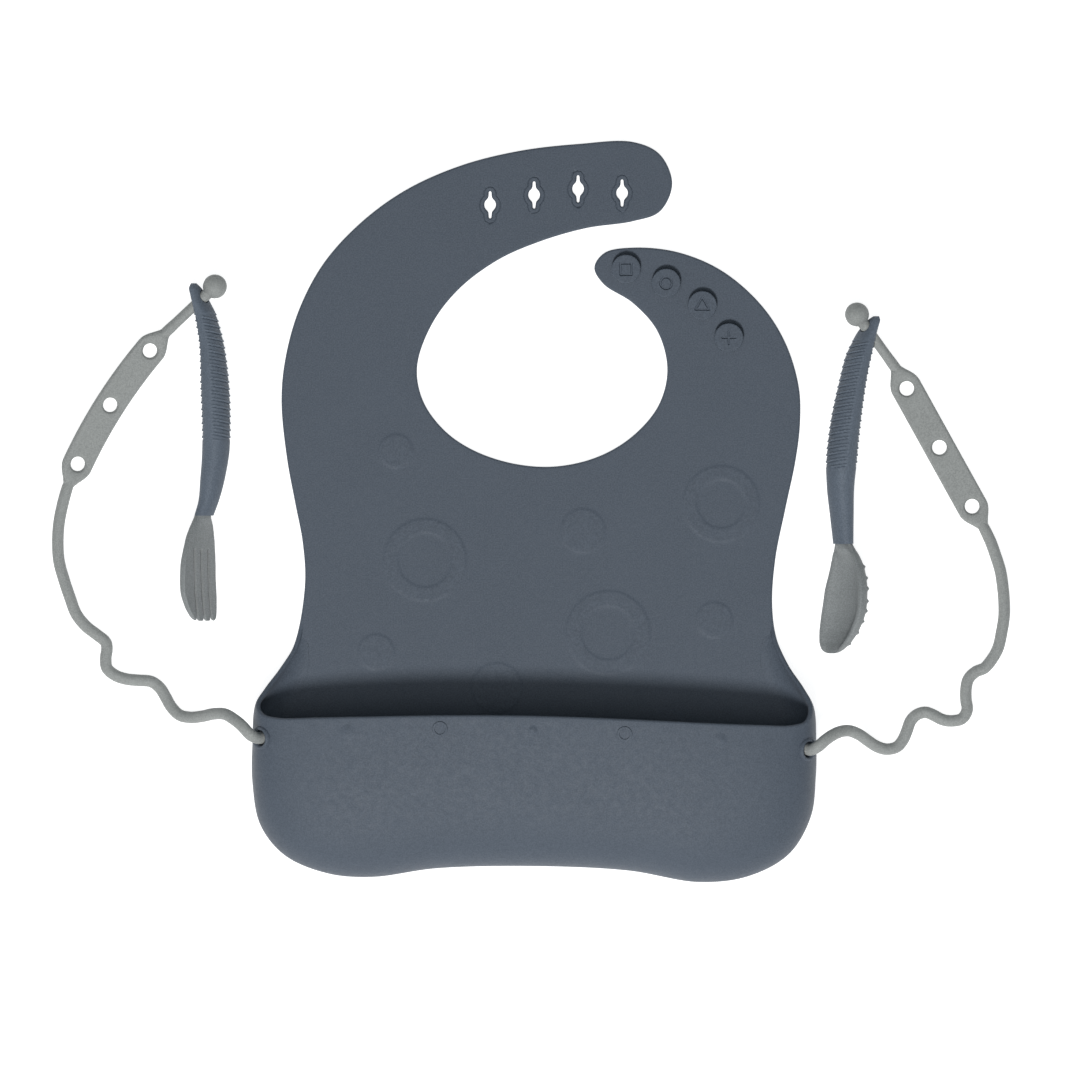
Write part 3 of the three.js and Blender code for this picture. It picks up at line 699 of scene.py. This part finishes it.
def add_ball_end(side):
    """The rod that the utensil hangs on, with the ball that keeps it there."""
    start, axis, length = rod_line(side)
    rows = [(0.0008, -0.0036), (0.0017, -0.0034), (0.0021, -0.002), (0.00225, 0), (0.00222, 0.003)]
    rows += [(ROD_RADIUS, h) for h in np.linspace(0.006, length - 0.0085, 8)]
    rows += [(ROD_RADIUS + 0.00025, length - 0.0065)]
    meet = math.degrees(math.asin((ROD_RADIUS + 0.0003) / BALL_RADIUS))
    rows += [(r, h) for r, h in arc((0, length), BALL_RADIUS, meet - 90, 88, 30)]
    points, faces = capped_rings(lathe_points(rows, start, axis, 40))
    name = f"tether_{side}_ball"
    return make_piece(f"{name}_end", points, faces, "grey_silicone", f"tether_{side}_end", [name])


def add_knob(side):
    """The knob behind the pocket's wall that the cord can't pull through its hole."""
    point, out = seat(side)
    rows = [(0.0003, -0.0074), (0.0036, -0.0074), *arc((0.0036, -0.0062), 0.0012, -90, 90, 9)]
    rows += [(0.0026, -0.0044), (0.0022, -0.0038), (0.0022, -0.0006), (0.0003, -0.0006)]
    points, faces = capped_rings(lathe_points(rows, point, out, 36))
    name = f"tether_{side}_knob"
    return make_piece(f"{name}_inside", points, faces, "grey_silicone", "bib", [name])


def add_eyelet(side):
    """A raised round collar, with its sleeve through the pocket's wall."""
    point, out = seat(side)
    rows = [(HOLE_RADIUS, -0.0024), (HOLE_RADIUS, -0.0012), (HOLE_RADIUS, 0.0001)]
    rows += arc((HOLE_RADIUS + 0.0007, 0.0001), 0.0007, 180, 40, 10)
    rows += [(0.0047, 0.0002), (0.0049, -0.0003), (0.0049, -0.0012), (0.0047, -0.0022)]
    rows += arc((HOLE_RADIUS + 0.0006, -0.0024), 0.0006, 0, -180, 9)
    points, faces = closed_rings(lathe_points(rows, point, out, 48))
    name = f"eyelet_{side}"
    return make_piece(f"{name}_collar", points, faces, "slate_silicone", "bib", [name])


# ---- a flat sheet with rounded edges ----

def offset_inward(loop, distance):
    ahead = unit(np.roll(loop, -1, axis=0) - np.roll(loop, 1, axis=0))
    return loop + distance * np.column_stack([-ahead[:, 1], ahead[:, 0]])


def sheet_plan(outline, holes, spacing, rounding, extra=None, soft_edge=None):
    """Points and triangles that fill an outline (anticlockwise) round its holes, close together at the edges.
    Also its edge loops, as lists of points, and how far each point is from an edge."""
    steps = rounding * np.array([0.08, 0.25, 0.5, 0.78, 1.05])
    loops = [outline] + [hole[::-1] for hole in holes]
    rows = [np.vstack(loops)]
    for step in steps:
        for loop in loops:
            rows.append(offset_inward(loop, step))
    if extra is not None:
        rows.append(extra)
    low, high = outline.min(0), outline.max(0)
    xs = np.arange(low[0], high[0], spacing)
    ys = np.arange(low[1], high[1], spacing * 0.87)
    grid = np.array([(x + (i % 2) * spacing / 2, y) for i, y in enumerate(ys) for x in xs])  # staggered rows
    grid = grid[inside(grid, outline)]
    clear = np.ones(len(grid), bool)
    for loop in loops:
        clear &= distance_to(grid, loop) > rounding * 1.05 + spacing * 0.45
    for hole in holes:
        clear &= ~inside(grid, hole)
    grid = grid[clear]
    if extra is not None and len(extra):
        tree = near_tree(extra)
        grid = np.array([p for p in grid if tree.find((*p, 0))[2] > spacing * 0.4])
    rows.append(grid)
    plan = np.vstack(rows)
    edges, bounds = [], []
    first = 0
    for loop in loops:
        ids = list(range(first, first + len(loop)))
        bounds.append(ids)
        edges += list(zip(ids, ids[1:] + ids[:1]))
        first += len(loop)
    out, _, faces, origin, _, _ = delaunay_2d_cdt([Vector(p) for p in plan], edges, [], 0, 1e-9, True)
    place = {old: new for new, olds in enumerate(origin) for old in olds}
    plan = np.array([tuple(p) for p in out])
    bounds = [[place[i] for i in ids] for ids in bounds]
    triangles = np.array([face for face in faces if len(face) == 3])
    middles = plan[triangles].mean(1)
    keep = inside(middles, outline)
    for hole in holes:
        keep &= ~inside(middles, hole)
    triangles = triangles[keep]
    whole = soft_edge is None
    gaps = distance_to(plan, outline if whole else soft_edge, closed=whole)
    for hole in holes:
        gaps = np.minimum(gaps, distance_to(plan, hole))
    return plan, triangles, bounds, gaps


def near_tree(points):
    tree = KDTree(len(points))
    for i, (x, y) in enumerate(points):
        tree.insert((x, y, 0), i)
    tree.balance()
    return tree


def two_sided(top, bottom, triangles, loops, open_lines=()):
    """A skin of a top, a bottom and the walls between them along open lines and closed loops."""
    count = len(top)
    faces = [tuple(face) for face in triangles]
    faces += [(a + count, c + count, b + count) for a, b, c in triangles]
    steps = [pair for line in open_lines for pair in zip(line, line[1:])]
    steps += [pair for loop in loops for pair in zip(loop, loop[1:] + loop[:1])]
    faces += [(b, a, a + count, b + count) for a, b in steps]
    return np.vstack([top, bottom]), faces


# ---- the bib's sheet: panel and straps ----

def keyhole_outline(middle):
    """A keyhole: a round hole with a narrowing slot above and below it."""
    right = KEYHOLE_HALF + [(x, -y) for x, y in KEYHOLE_HALF[-2::-1]]
    ring = right + [(-x, y) for x, y in right[::-1]]
    return curve(ring, even_places(ring, 0, len(ring), 0.00038, closed=True)[:-1], closed=True)[::-1] + middle


def mark_height(plan):
    """How far the low round marks lift the front of the panel."""
    height = np.zeros(len(plan))
    for middle, outer, inner in CHEST_MARKS:
        away = np.linalg.norm(plan - middle, axis=1)
        lift = smooth_step((outer + MARK_SLOPE / 2 - away) / MARK_SLOPE)
        if inner:
            lift *= smooth_step((away - inner + MARK_SLOPE / 2) / MARK_SLOPE)
        height += MARK_HEIGHT * lift
    return height


def rim_height(gap):
    """A keyhole's raised border, with a fine groove round it; gap is the distance from the hole."""
    border = 0.0001 * smooth_step((KEYHOLE_BORDER - gap) / 0.0003)
    groove = 0.0004 * np.exp(-((gap - KEYHOLE_BORDER) / 0.00014)**2)
    return border - groove


def detail_points():
    """Extra points where the front of the sheet has fine shapes: round the marks and the keyholes."""
    rows = []
    for middle, outer, inner in CHEST_MARKS:
        for radius in (outer, inner) if inner else (outer,):
            for offset in np.linspace(-MARK_SLOPE * 0.6, MARK_SLOPE * 0.6, 6):
                count = int(2 * math.pi * radius / 0.00075)
                rows.append(middle + circle(count, radius + offset))
    for middle in KEYHOLES:
        hole = keyhole_outline(middle)
        for gap in KEYHOLE_BORDER + np.array([-0.5, -0.32, -0.2, -0.1, 0, 0.1, 0.2, 0.32, 0.6]) * 0.001:
            ring = offset_inward(hole, -gap)
            keep = distance_to(ring, hole) > gap - 0.00003
            rows.append(ring[keep])
    return np.vstack(rows)


def bib_sheet():
    """Points and faces of the whole sheet. It has no wall where the pocket's skin wraps round its edge."""
    count = len(OUTLINE)
    soft_from = FOOT_PLACE + RAMP  # the free edge starts past the pocket's left end and runs right round
    soft_to = FOOT_PLACE - LAST_STATION - RAMP + count
    soft_places = even_places(OUTLINE, soft_from, soft_to, 0.001, closed=True)
    hard_places = even_places(OUTLINE, soft_to, soft_from + count, 0.0012, closed=True)[1:-1]
    soft = outline_points(soft_places)
    tucked = np.minimum(hard_places - soft_to, soft_from + count - hard_places)
    inset = EDGE * smooth_step(tucked / 0.12)
    hard = outline_points(hard_places) + inset[:, None] * outline_inward(hard_places)
    outline = np.vstack([soft, hard])[::-1]
    holes = [keyhole_outline(middle) for middle in KEYHOLES]
    plan, triangles, loops, gaps = sheet_plan(outline, holes, 0.0019, EDGE, detail_points(), soft)
    drop = EDGE - np.sqrt(np.maximum(EDGE**2 - np.maximum(EDGE - gaps, 0)**2, 0))
    hole_gap = np.full(len(plan), 1.0)
    for hole in holes:
        near = np.linalg.norm(plan - hole.mean(0), axis=1) < 0.012
        hole_gap[near] = np.minimum(hole_gap[near], distance_to(plan[near], hole))
    top = np.column_stack([plan, SHEET - drop + mark_height(plan) + rim_height(hole_gap)])
    bottom = np.column_stack([plan, drop])
    free_edge = loops[0][-len(soft):]
    return two_sided(top, bottom, triangles, loops[1:], [free_edge])


def add_sheet_pieces():
    """The sheet, split along the two folds into the panel and its straps."""
    points, faces = bib_sheet()
    middles = np.array([points[list(face)].mean(0)[:2] for face in faces])
    on_keyholes = inside(middles, KEYHOLE_REGION)
    on_buttons = inside(middles, BUTTON_REGION) & ~on_keyholes
    parts = {
        "panel_skin": (~on_keyholes & ~on_buttons, "bib_panel"),
        "keyhole_strap_skin": (on_keyholes, "keyhole_strap"),
        "button_strap_skin": (on_buttons, "button_strap"),
    }
    pieces = {}
    for name, (chosen, node) in parts.items():
        own = [faces[i] for i in np.flatnonzero(chosen)]
        used = sorted({v for face in own for v in face})
        new = {old: i for i, old in enumerate(used)}
        own = [[new[v] for v in face] for face in own]
        body = "bib" if name == "panel_skin" else None
        pieces[name] = make_piece(name, points[used], own, "slate_silicone", body, [node])
    bend(pieces["keyhole_strap_skin"], "keyhole_strap", KEYHOLE_FOLD, KEYHOLE_BEND)
    bend(pieces["button_strap_skin"], "button_strap", BUTTON_FOLD, BUTTON_BEND)


def bend(piece, body, fold, reach):
    """Works out the line of a strap's fold and bakes the strap's placing into its mesh. The reach is not
    used.
    """
    inner, outer = (np.array([*end, SHEET]) for end in fold)
    along = unit(outer - inner)
    away = np.array([-along[1], along[0], 0])
    if away[1] < 0:
        away = -away
    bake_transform(piece)


# ---- the pocket ----

def coved(rows, foot, inward, stations):
    """The pocket's inside, from its lip down, with a wide hollow where its low ends run into the panel."""
    from_end = np.minimum(stations, LAST_STATION - stations)
    radius = 0.003 + (COVE - 0.003) * smooth_step((5.2 - from_end) / 1.6)
    lip = rows[0]
    reach = ((lip - foot) * inward).sum(1)
    height = np.maximum(lip[:, 2] - SHEET, 0)
    low = np.minimum(height, radius)
    start = reach - (radius - np.sqrt(np.maximum(radius**2 - (radius - low)**2, 0)))
    walls = np.minimum(from_end - 3.2, 1)
    share = smooth_step(1 - walls)[:, None]
    count = len(rows)
    result = []
    first_turn = np.arccos(np.clip(1 - low / radius, -1, 1))
    straight = height - low
    total = straight + radius * first_turn
    for k in range(count):
        way = total * k / (count - 1)
        turn = first_turn - np.maximum(way - straight, 0) / radius
        q = start + radius - radius * np.sin(turn)
        q = np.where(way < straight, reach, q)
        z = np.where(way < straight, lip[:, 2] - way, SHEET + radius * (1 - np.cos(turn)))
        hollow = foot + q[:, None] * inward + z[:, None] * np.array([0, 0, 1.0])
        result.append(share * hollow + (1 - share) * rows[k])
    last = result[-1] + (0.0012 * inward + (0, 0, -0.0002)) * share
    last = last + (1 - share) * (rows[-1] * (1, 1, 0) + (0, 0, SHEET - 0.0004) - rows[-1])
    return result + [last]


def pocket_grid():
    """Rows of points from under the bib's edge, up the outside, over the lip and down inside."""
    places = even_places(OUTLINE, FOOT_PLACE - LAST_STATION - RAMP, FOOT_PLACE + RAMP, 0.00095, closed=True)
    stations = FOOT_PLACE - places[::-1]
    fine = np.linspace(0, 1, 90)[None, :].repeat(len(stations), 0)
    skin = pocket_outside(stations, fine)
    steps = np.linalg.norm(np.diff(skin, axis=1), axis=2)
    along = np.concatenate([np.zeros((len(stations), 1)), np.cumsum(steps, axis=1)], axis=1)
    rows = 42
    ups = np.empty((len(stations), rows))
    for i, lengths in enumerate(along):
        top = max(lengths[-1] - WALL / 2, 0.02 * lengths[-1])
        ups[i] = np.interp(np.linspace(0, top, rows), lengths, fine[0])
    outside = pocket_outside(stations, ups)
    normals = pocket_normals(stations, ups)
    inward = outline_inward(FOOT_PLACE - stations)
    inward = np.column_stack([inward, np.zeros(len(inward))])
    foot = outside[:, 0] * (1, 1, 0)
    hem = [foot + 1.35 * EDGE * inward + (0, 0, 0.0003)]
    for turn in np.radians(np.linspace(-90, 0, 6)):
        hem.append(foot + EDGE * (1 - math.cos(turn)) * inward + (0, 0, EDGE * (1 + math.sin(turn))))
    lip = []
    rise = unit(outside[:, -1] - outside[:, -2])
    middle = outside[:, -1] - WALL / 2 * normals[:, -1]
    for turn in np.radians(np.linspace(0, 180, 13))[1:-1]:
        lip.append(middle + WALL / 2 * (math.cos(turn) * normals[:, -1] + math.sin(turn) * rise))
    inner = outside - WALL * normals
    rows_in = [inner[:, j] for j in range(rows - 1, -1, -1)]
    rows_in = coved(rows_in, foot, inward, stations)
    return np.stack([*hem, *(outside[:, j] for j in range(rows)), *lip, *rows_in], axis=1)


def open_hole(points, faces, side):
    """Moves the points near a tether's hole out to its rim, and returns the faces outside the hole."""
    point, out = seat(side)
    rim = HOLE_RADIUS + 0.0004
    depth = 0.006
    offset = points - point
    height = offset @ out
    away = offset - height[:, None] * out
    distance = np.linalg.norm(away, axis=1)
    near = (distance < rim) & (np.abs(height) < depth)
    centre = points[faces].mean(1) - point
    centre_height = centre @ out
    centre_away = np.linalg.norm(centre - centre_height[:, None] * out, axis=1)
    points[near] += away[near] / distance[near, None] * (rim - distance[near, None])
    return faces[~((centre_away < rim - 0.00015) & (np.abs(centre_height) < depth))]


def add_pocket():
    grid = pocket_grid()
    points = grid.reshape(-1, 3)
    faces = np.array(grid_faces(*grid.shape[:2]))[:, ::-1]
    for side in TETHERS:
        faces = open_hole(points, faces, side)
    used = np.unique(faces)
    new = np.zeros(len(points), int)
    new[used] = np.arange(len(used))
    make_piece("pocket_scoop", points[used], new[faces], "slate_silicone", "bib", ["pocket"])


def pocket_place(x, y):
    """The point on the pocket's front that lies at (x, y) seen from above, and its normal."""
    stations = np.linspace(6, 16, 201)
    ups = np.linspace(0.5, 1, 101)
    here = pocket_outside(stations, ups[None, :])
    gaps = np.hypot(here[..., 0] - x, here[..., 1] - y)
    i, j = np.unravel_index(gaps.argmin(), gaps.shape)
    return pocket_spot(stations[i], ups[j])


def ring_rows(outer, inner):
    level = RING_HEIGHT - RING_ROUNDING
    rows = [(inner, -0.0006), (inner, level), *arc((inner + RING_ROUNDING, level), RING_ROUNDING, 170, 90, 5)]
    return [*rows, *arc((outer - RING_ROUNDING, level), RING_ROUNDING, 90, 0, 5), (outer + 0.0001, -0.0006)]


def dome_rows(outer):
    rows = [(outer + 0.0001, -0.0006)]
    for share in np.linspace(1, 0.04, 14):
        rows.append((outer * share, 0.00029 * (1 + math.cos(math.pi * share)) - 0.00009))
    return rows


def add_lip_marks():
    """Low moulded dots and rings under the lip."""
    for i, (x, y, outer, inner) in enumerate(LIP_MARKS):
        point, out = pocket_place(x, y)
        if inner:
            points, faces = closed_rings(lathe_points(ring_rows(outer, inner), point, out, 40))
        else:
            points, faces = capped_rings(lathe_points(dome_rows(outer), point, out, 40))
        make_piece(f"lip_mark_{i + 1}", points, faces, "slate_silicone", "bib")


# ---- buttons ----

def symbol_gap(kind, x, y):
    """How far (x, y) is from the line of a plain symbol: a ring, a square, a triangle or a plus."""
    if kind == "ring":
        return np.abs(np.hypot(x, y) - SYMBOL_SIZE * 0.9)
    if kind == "plus":
        across = np.hypot(np.maximum(np.abs(x) - SYMBOL_SIZE, 0), y)
        upright = np.hypot(x, np.maximum(np.abs(y) - SYMBOL_SIZE, 0))
        return np.minimum(across, upright)
    turns = (45, 135, 225, 315) if kind == "square" else (90, 210, 330)
    corners = np.array([(math.cos(math.radians(t)), math.sin(math.radians(t))) for t in turns])
    corners = corners * SYMBOL_SIZE * 1.25
    points = np.column_stack([x.ravel(), y.ravel()])
    return distance_to(points, corners).reshape(x.shape)


def add_buttons():
    """Mushroom studs, each with a plain symbol sunk into its top."""
    for i, (kind, middle) in enumerate(zip(("square", "ring", "triangle", "plus"), BUTTONS)):
        low = SHEET - 0.0003
        top = SHEET + BUTTON_HEIGHT
        rows = [(0.0003, low), (0.0036, low), (0.0031, low + 0.0004), (0.00275, low + 0.0008)]
        rows += [(0.00275, low + 0.0011), *arc((0.0034, low + 0.0017), 0.0004, -150, -100, 3)]
        rows += arc((BUTTON_RADIUS - 0.0006, low + 0.0021), 0.0006, -80, 0, 6)
        rows += arc((BUTTON_RADIUS - 0.00045, top - 0.00045), 0.00045, 0, 90, 7)
        rows += [(r, top) for r in np.linspace(BUTTON_RADIUS - 0.0006, 0.0001, 52)]
        rings = lathe_points(rows, (*middle, 0), (0, 0, 1), 112)
        x, y = rings[:, :, 0] - middle[0], rings[:, :, 1] - middle[1]
        flat = rings[:, :, 2] > top - 1e-6
        sink = SYMBOL_DEPTH * smooth_step((0.00048 - symbol_gap(kind, x, y)) / 0.00026)
        rings[:, :, 2] -= np.where(flat, sink, 0)
        points, faces = capped_rings(rings)
        name = f"button_{i + 1}"
        make_piece(f"{name}_stud", points, faces, "slate_silicone", "button_strap", [name])


# ---- fork and spoon ----

def utensil_axes(lean):
    """The directions across a utensil's width and out of its face."""
    turn = math.radians(lean)
    across = np.array([math.cos(turn), 0, math.sin(turn)])
    face = np.array([math.sin(turn), 0, -math.cos(turn)])
    return across, face if face[2] > 0 else -face


def utensil_rows(rows, spacing):
    """Middles and sizes at even steps along a utensil, on a smooth curve through the given rows."""
    middles = [row[:3] for row in rows]
    sizes = [(row + (0,))[3:6] for row in rows]
    places = even_places(middles, 0, len(rows) - 1, spacing)
    return curve(middles, places), curve(sizes, places)


def squarish(turns, power):
    """The cosine and sine of an oval: an ellipse at power 1, and nearer to a rectangle at lower powers."""
    c, s = np.cos(turns), np.sin(turns)
    return np.sign(c) * np.abs(c)**power, np.sign(s) * np.abs(s)**power


def add_handle(name, rows, lean, rib_span, rod):
    """A curved grip with fine ribs over both its faces, and a bore through its tip for the rod."""
    across, face = utensil_axes(lean)
    middles, sizes = utensil_rows(rows, 0.00024)
    turns = full_turn(88)
    c, s = squarish(turns, OVAL)
    c, s = c[None, :, None], s[None, :, None]
    half, thick = sizes[:, 0, None, None], sizes[:, 1, None, None]
    rings = middles[:, None] + (half * c * across + thick * s * face)
    out = unit(c * across / half + s * face / thick)
    along = lengths_along(middles)[:, None]
    top, bottom = (np.interp(-y, -middles[:, 1], along[:, 0]) for y in rib_span)
    into = np.minimum(along - top, bottom - along)
    on_face = smooth_step((np.abs(np.sin(turns)) - 0.33) / 0.2)[None, :]
    shift = RIB_SLANT * np.cos(turns)[None, :] * np.sign(np.sin(turns))[None, :]
    past = (np.mod((along - top + shift) / RIB_PITCH + 0.5, 1) - 0.5) * RIB_PITCH
    ridge = 0.0004 * np.exp(-(past / 0.00034)**2) - 0.0004 * np.exp(-((past - 0.00062) / 0.00024)**2)
    mask = smooth_step(into / 0.0012) * on_face
    rings = rings + ((ridge - 0.00012) * mask)[:, :, None] * out
    points, faces = capped_rings(rings)
    piece = make_piece(f"{name}_grip", points, faces, "handle_silicone", name.split("_")[0], [name])
    start, axis, length = rod
    bore = lathe_points([(BORE_RADIUS, length - 0.02), (BORE_RADIUS, length + 0.004)], start, axis, 40)
    cut(piece, cutter(*capped_rings(bore)))
    piece.data.set_sharp_from_angle(angle=math.radians(42))
    return piece


def head_rings(rows, lean, fullness, rim=0.0017, spacing=0.0006, count=34):
    """Rings of a head: round the back, over the rim, across the hollow face and over the other rim."""
    across, face = utensil_axes(lean)
    first, second = np.array(rows[0]), np.array(rows[1])
    tucked = first + (first - second) * 0.5
    tucked[3:] = first[3:] * 0.86
    middles, sizes = utensil_rows([tuple(tucked), *rows], spacing)
    rings = []
    turns = np.linspace(0, math.pi, count)
    over = np.radians(np.linspace(180, 0, 7)[1:-1])
    for middle, (half, back, front), past in zip(middles, sizes, lengths_along(middles)):
        inner = max(half - min(rim, 0.35 * half), 0.0006)
        c, s = squarish(turns, OVAL + (fullness - OVAL) * smooth_step(past / 0.011))
        outside = np.column_stack([half * c, -back * s])
        inside_arc = np.column_stack([inner * np.cos(turns), -front * np.sin(turns)**HOLLOW])[::-1]
        bulge = (half - inner) / 2
        crest = 0.6 * bulge * smooth_step(1 + front / 0.003)
        left = np.column_stack([-(half - bulge) + bulge * np.cos(over), crest * np.sin(over)])
        right = left[::-1] * (-1, 1)
        profile = np.vstack([outside, left, inside_arc, right])
        rings.append(middle + profile[:, :1] * across + profile[:, 1:] * face)
    return np.array(rings), middles, sizes


def soften(piece, voxel, rounds):
    """Remeshes a piece finely and smooths it, which rounds every edge as moulding does."""
    remesh = piece.modifiers.new("remesh", "REMESH")
    remesh.mode = "VOXEL"
    remesh.voxel_size = voxel
    remesh.use_smooth_shade = True
    smooth = piece.modifiers.new("smooth", "SMOOTH")
    smooth.factor = 0.5
    smooth.iterations = rounds
    apply_modifiers(piece)
    piece.data.shade_smooth()


def add_fork_head():
    """A shallow fork head with three slots between four round-ended tines."""
    rings, _, _ = head_rings(FORK_HEAD, FORK_LEAN, fullness=0.3, rim=0.0011, count=60)
    piece = make_piece("fork_head_tines", *capped_rings(rings), "head_silicone", "fork", ["fork_head"])
    across, face = utensil_axes(FORK_LEAN)
    along = np.array([SLOT_TO[0] - SLOT_FROM[0], SLOT_TO[1] - SLOT_FROM[1], 0])
    length = float(np.linalg.norm(along))
    along = along / length
    start = np.array([*SLOT_FROM, FORK_HEAD[4][2]])
    half = SLOT_HALF
    through = unit(face + SLOT_TILT * across)
    side = [(half * math.cos(t), -half * math.sin(t)) for t in np.radians(np.linspace(90, 0, 6))]
    side += [(half, length - 0.0046), (half * 1.1, length - 0.0036), (half * 1.5, length - 0.0029)]
    side += [(half * 2.2, length - 0.0022), (half * 4, length - 0.0012), (half * 4, length + 0.004)]
    shape = np.array(side + [(-x, y) for x, y in side[::-1][:-1]])
    cutters = []
    for offset in FORK_SLOTS:
        rings = []
        for depth in (-SLOT_REACH, SLOT_REACH):
            middle = start + offset * across + depth * through
            rings.append(middle + shape[:, :1] * across + shape[:, 1:] * along)
        cutters.append(cutter(*prism(rings)))
    soften(piece, 0.0003, 2)
    cut(piece, *cutters)
    soften(piece, 0.0002, 2)
    piece.data.materials.clear()
    piece.data.materials.append(LOOKS["head_silicone"])


def add_spoon_head():
    """A shallow spoon with rows of small nubs across its back."""
    rings, middles, sizes = head_rings(
        SPOON_HEAD, SPOON_LEAN, fullness=0.85, rim=0.0026, spacing=0.0004, count=80,
    )
    across, face = utensil_axes(SPOON_LEAN)
    flat = rings.reshape(-1, 3)
    for y in NUB_ROWS:
        i = int(np.abs(middles[:, 1] - y).argmin())
        for turn in np.radians(NUB_TURNS):
            half, back, _ = sizes[i]
            c, s = squarish(turn, 0.85)
            spot = middles[i] + half * c * across - back * s * face
            out = unit(math.cos(turn) / half * across - math.sin(turn) / back * face)
            gap = np.linalg.norm(flat - spot, axis=1)
            facing = ((flat - spot) @ out) > -0.0009
            flat += (NUB_HEIGHT * facing * smooth_step(1 - gap / NUB_RADIUS))[:, None] * out
    points, faces = capped_rings(rings)
    make_piece("spoon_head_bowl", points, faces, "head_silicone", "spoon", ["spoon_head"])


# ---- stage ----

def add_floor():
    """A pale floor that gives off some light of its own, so that it stays even."""
    material = bpy.data.materials.new("floor_look")
    material.use_nodes = True
    shader = material.node_tree.nodes["Principled BSDF"]
    shader.inputs["Base Color"].default_value = (0.5, 0.5, 0.5, 1)
    shader.inputs["Emission Color"].default_value = (1, 1, 1, 1)
    shader.inputs["Emission Strength"].default_value = 0.88
    shader.inputs["Roughness"].default_value = 0.9
    shader.inputs["Specular IOR Level"].default_value = 0.1
    reach = 4.0
    corners = [(x * reach, y * reach, -0.0001) for x, y in ((-1, -1), (1, -1), (1, 1), (-1, 1))]
    mesh = bpy.data.meshes.new("floor")
    mesh.from_pydata(corners, [], [(0, 1, 2, 3)])
    mesh.materials.append(material)
    floor = add_object("floor", mesh)


def add_light(name, place, size, power):
    data = bpy.data.lights.new(name, "AREA")
    data.shape = "DISK"
    data.size = size
    data.energy = power
    light = add_object(name, data)
    light.location = place
    light.rotation_euler = (-Vector(place)).to_track_quat("-Z", "Y").to_euler()


def add_studio():
    """A lamp from the pocket's end, a little to the left, a weak wide one above, and a dim blue room."""
    add_light("key", (-0.3, -1.64, 2.9), 0.66, 78)
    add_light("soft_top", (-0.06, -0.25, 1.6), 1.1, 5.2)
    world = bpy.data.worlds.new("studio")
    bpy.context.scene.world = world
    world.use_nodes = True
    background = world.node_tree.nodes["Background"]
    background.inputs["Color"].default_value = (0.72, 0.9, 1, 1)
    background.inputs["Strength"].default_value = 0.12
    bpy.context.scene.view_settings.view_transform = "Standard"


add_sheet_pieces()
add_pocket()
add_lip_marks()
add_buttons()
for tether in TETHERS:
    add_eyelet(tether)
    add_knob(tether)
    strap = add_adjuster(tether)
    add_ball_end(tether)
    tube, line, length = add_cord(tether)
    seat(tether)[0]
add_handle("fork_handle", FORK_HANDLE, FORK_LEAN, FORK_RIBS, rod_line("left"))
add_handle("spoon_handle", SPOON_HANDLE, SPOON_LEAN, SPOON_RIBS, rod_line("right"))
add_fork_head()
add_spoon_head()
add_floor()
add_studio()
